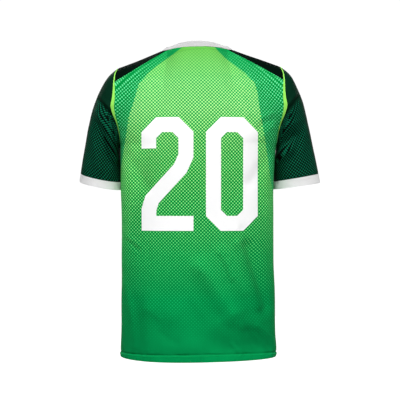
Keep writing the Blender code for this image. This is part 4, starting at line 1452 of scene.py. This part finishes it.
def seams(pieces):
    """Lines of stitches on each piece, with the colour of their thread."""
    def rows(name, *places):
        """Lines at (edge, depth) on a piece, joined up where the piece is a ring."""
        lines = [offset_line(pieces[name], *place) for place in places]
        if pieces[name]["closed"]:
            lines = [(looped(points), looped(normals)) for points, normals in lines]
        return lines

    lines = {}
    neck = slice(HALF_COLS - NECK_COLS + 1, HALF_COLS + NECK_COLS)
    for face, name in FACES.items():
        grid = pieces[name + "_panel"]["grid"]
        hem = [("low", hem_line(grid.shape[1]) - below) for below in HEM_STITCHES]
        top = ("high", neck_depth(grid[-1, :, 0], face), neck)
        lines[name + "_panel"] = ("green", rows(name + "_panel", *hem, top))
    for side in SIDES:
        for name, colour, *places in (
                ("shoulder_yoke_", "black", ("low", YOKE_STITCHES), ("high", YOKE_STITCHES)),
                ("sleeve_", "pine", ("low", CAP_STITCHES), ("high", WRIST_STITCHES)),
                ("cuff_", "white", ("high", CUFF_STITCHES))):
            lines[name + side] = (colour, rows(name + side, *places))
    lines["collar"] = ("white", rows("collar", ("low", COLLAR_STITCHES)))
    return lines


# Slot of the record, and flat cut (width, length, area) of the cloth that shows.
CUT = {
    "back_panel": ("body_knit", 0.510, 0.745, 0.3390),
    "front_panel": ("body_knit", 0.510, 0.740, 0.3240),
    "shoulder_yoke": ("yoke_knit", 0.150, 0.110, 0.0110),
    "armhole_insert": ("insert_knit", 0.490, 0.011, 0.0018),
    "sleeve": ("sleeve_knit", 0.485, 0.280, 0.0690),
    "cuff": ("rib", 0.400, 0.0205, 0.0080),
    "collar": ("rib", 0.560, 0.0145, 0.0080),
}


def cut_of(name):
    """The row of CUT for a piece of the left, the right or neither side."""
    return CUT[name.removesuffix("_left").removesuffix("_right")]


def dress(pieces):
    linings = {name: plain_material(name + "_lining", tone) for name, tone in LININGS.items()}
    # Two greys of one rib knit: painted shade on the collar, painted light on the cuffs.
    ribs = {name: plain_material(name + "_rib_knit", tone, RIB_FINISH)
            for name, tone in (("collar", COLLAR_GREY_PAINTED_SHADE), ("cuff", CUFF_GREY_PAINTED_LIGHT))}
    looks = {
        "body_knit": (body_material(), linings["body"]),
        "yoke_knit": (plain_material("yoke_knit", YOKE_BLACK, YOKE_FINISH), linings["yoke"]),
        "insert_knit": (plain_material("insert_knit", INSERT_LIME), linings["body"]),
        "sleeve_knit": (sleeve_material(), linings["sleeve"]),
    }
    threads = {name: thread_material("thread_" + name, tone) for name, tone in THREADS.items()}
    sewing = seams(pieces)
    sheets = {}
    for name, piece in pieces.items():
        slot = cut_of(name)[0]
        rib = ribs.get(name.split("_")[0])
        cloth = cloth_object("cloth_" + name, piece, *looks.get(slot, (rib, rib)))
        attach(cloth, "root")
        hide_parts(name)
        sheets[name] = [cloth]
        if name in sewing:
            colour, lines = sewing[name]
            sewn_on = stitched("stitches_" + name, lines, threads[colour])
            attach(sewn_on, "root")
            sheets[name].append(sewn_on)
    sheets["back_panel"] += numerals(sheets["back_panel"][0])


# ------------------------------------------------------------ studio
FLOOR_Z = -1.500        # the jersey hangs with its neck at chest height
FLOOR_RADIUS = 9.0
FLOOR_GREY = 0.64
FLOOR_GRAIN = 0.02      # how much lighter it gets with its slow waves
FLOOR_WAVES = 3.0
FLOOR_ROUGH = 0.8
FLOOR_SHINE = 0.1
GLOW_FROM = 2.25        # the floor's white glow comes in between these distances
GLOW_TO = 4.05
AHEAD_FROM = 0.75       # floor and sky grow white between these shares of straight ahead
AHEAD_TO = 0.95
TARGET = (0.0, 0.0, -0.36)          # point that the lamps are aimed at
CAMERA_PLACE = (0.0024, -2.9000, -0.3600)
CAMERA_LENS = 108.75
SENSOR_WIDTH = 36.0
SKY_BEHIND = 1.04
SKY_SIDE = 0.44
SKY_ABOVE = 0.16
SKY_RISE_FROM = 0.17    # the sky grows darker between these heights of its globe
SKY_RISE_TO = 0.34
# Lamps: place, size and power.
LAMPS = {
    "key": ((-0.3, -2.8, 4.1), 1.6, 290.0),
    "fill": ((1.9, -3.4, 3.0), 2.0, 46.0),
    "far_left": ((-1.6, 3.0, 1.2), 1.5, 38.0),
    "far_right": ((1.5, 3.1, 0.8), 1.5, 30.0),
    "top": ((0.0, -0.4, 2.6), 1.4, 2.0),
}


def floor_material():
    """Pale grey floor that glows white far behind the jersey."""
    shader = new_material("pale_floor")
    place = shader.new("TexCoord", output="Object")
    length = shader.new("VectorMath", {0: place}, "Value", operation="LENGTH")
    ahead = shader.math("DIVIDE", shader.parts(place)[1], length)
    glow = shader.math("MULTIPLY", shader.between(length, GLOW_FROM, GLOW_TO),
                       shader.between(ahead, AHEAD_FROM, AHEAD_TO))
    shader.surface(Emission_Color=(1.0, 1.0, 1.0), Emission_Strength=glow)
    grain = shader.varied(FLOOR_GREY, FLOOR_GREY + FLOOR_GRAIN, FLOOR_WAVES)
    return shader.cloth(shader.grey(grain), FLOOR_ROUGH, 0.0, FLOOR_SHINE)


def sky():
    """White behind the jersey, and softer elsewhere."""
    world = bpy.data.worlds.new("studio")
    bpy.context.scene.world = world
    nodes = Nodes(world)
    place = nodes.parts(nodes.new("TexCoord", output="Generated"))

    def span(value, low, high, start, end):
        return nodes.new("MapRange", {"Value": value, "From Min": low, "From Max": high,
                                      "To Min": start, "To Max": end})

    low_sky = span(place[1], AHEAD_FROM, AHEAD_TO, SKY_SIDE, SKY_BEHIND)
    background = world.node_tree.nodes["Background"].inputs
    background["Color"].default_value = (1.0, 1.0, 1.0, 1.0)
    strength = span(place[2], SKY_RISE_FROM, SKY_RISE_TO, low_sky, SKY_ABOVE)
    nodes.put(background["Strength"], strength)


def studio():
    bpy.ops.mesh.primitive_circle_add(vertices=96, radius=FLOOR_RADIUS, fill_type="NGON",
                                      location=(0.0, 0.0, FLOOR_Z))
    floor = bpy.context.object
    floor.name = "studio_floor"
    floor.data.materials.append(floor_material())
    for name, (place, size, power) in LAMPS.items():
        light = bpy.data.lights.new("lamp_" + name, "AREA")
        light.shape = "DISK"
        light.size = size
        light.energy = power
        lamp = bpy.data.objects.new("lamp_" + name, light)
        lamp.location = place
        aim = Vector(TARGET) - Vector(place)
        lamp.rotation_euler = aim.to_track_quat("-Z", "Y").to_euler()
        bpy.context.scene.collection.objects.link(lamp)
    sky()
    camera = bpy.data.cameras.new("camera")
    camera.lens = CAMERA_LENS
    camera.sensor_width = SENSOR_WIDTH
    holder = bpy.data.objects.new("camera", camera)
    holder.location = CAMERA_PLACE
    holder.rotation_euler = (math.pi / 2, 0.0, 0.0)
    bpy.context.scene.collection.objects.link(holder)
    bpy.context.scene.camera = holder
    bpy.context.scene.view_settings.view_transform = "Standard"


def write_sizes():
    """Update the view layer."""
    bpy.context.view_layer.update()


dress(finished_pieces())
studio()
write_sizes()
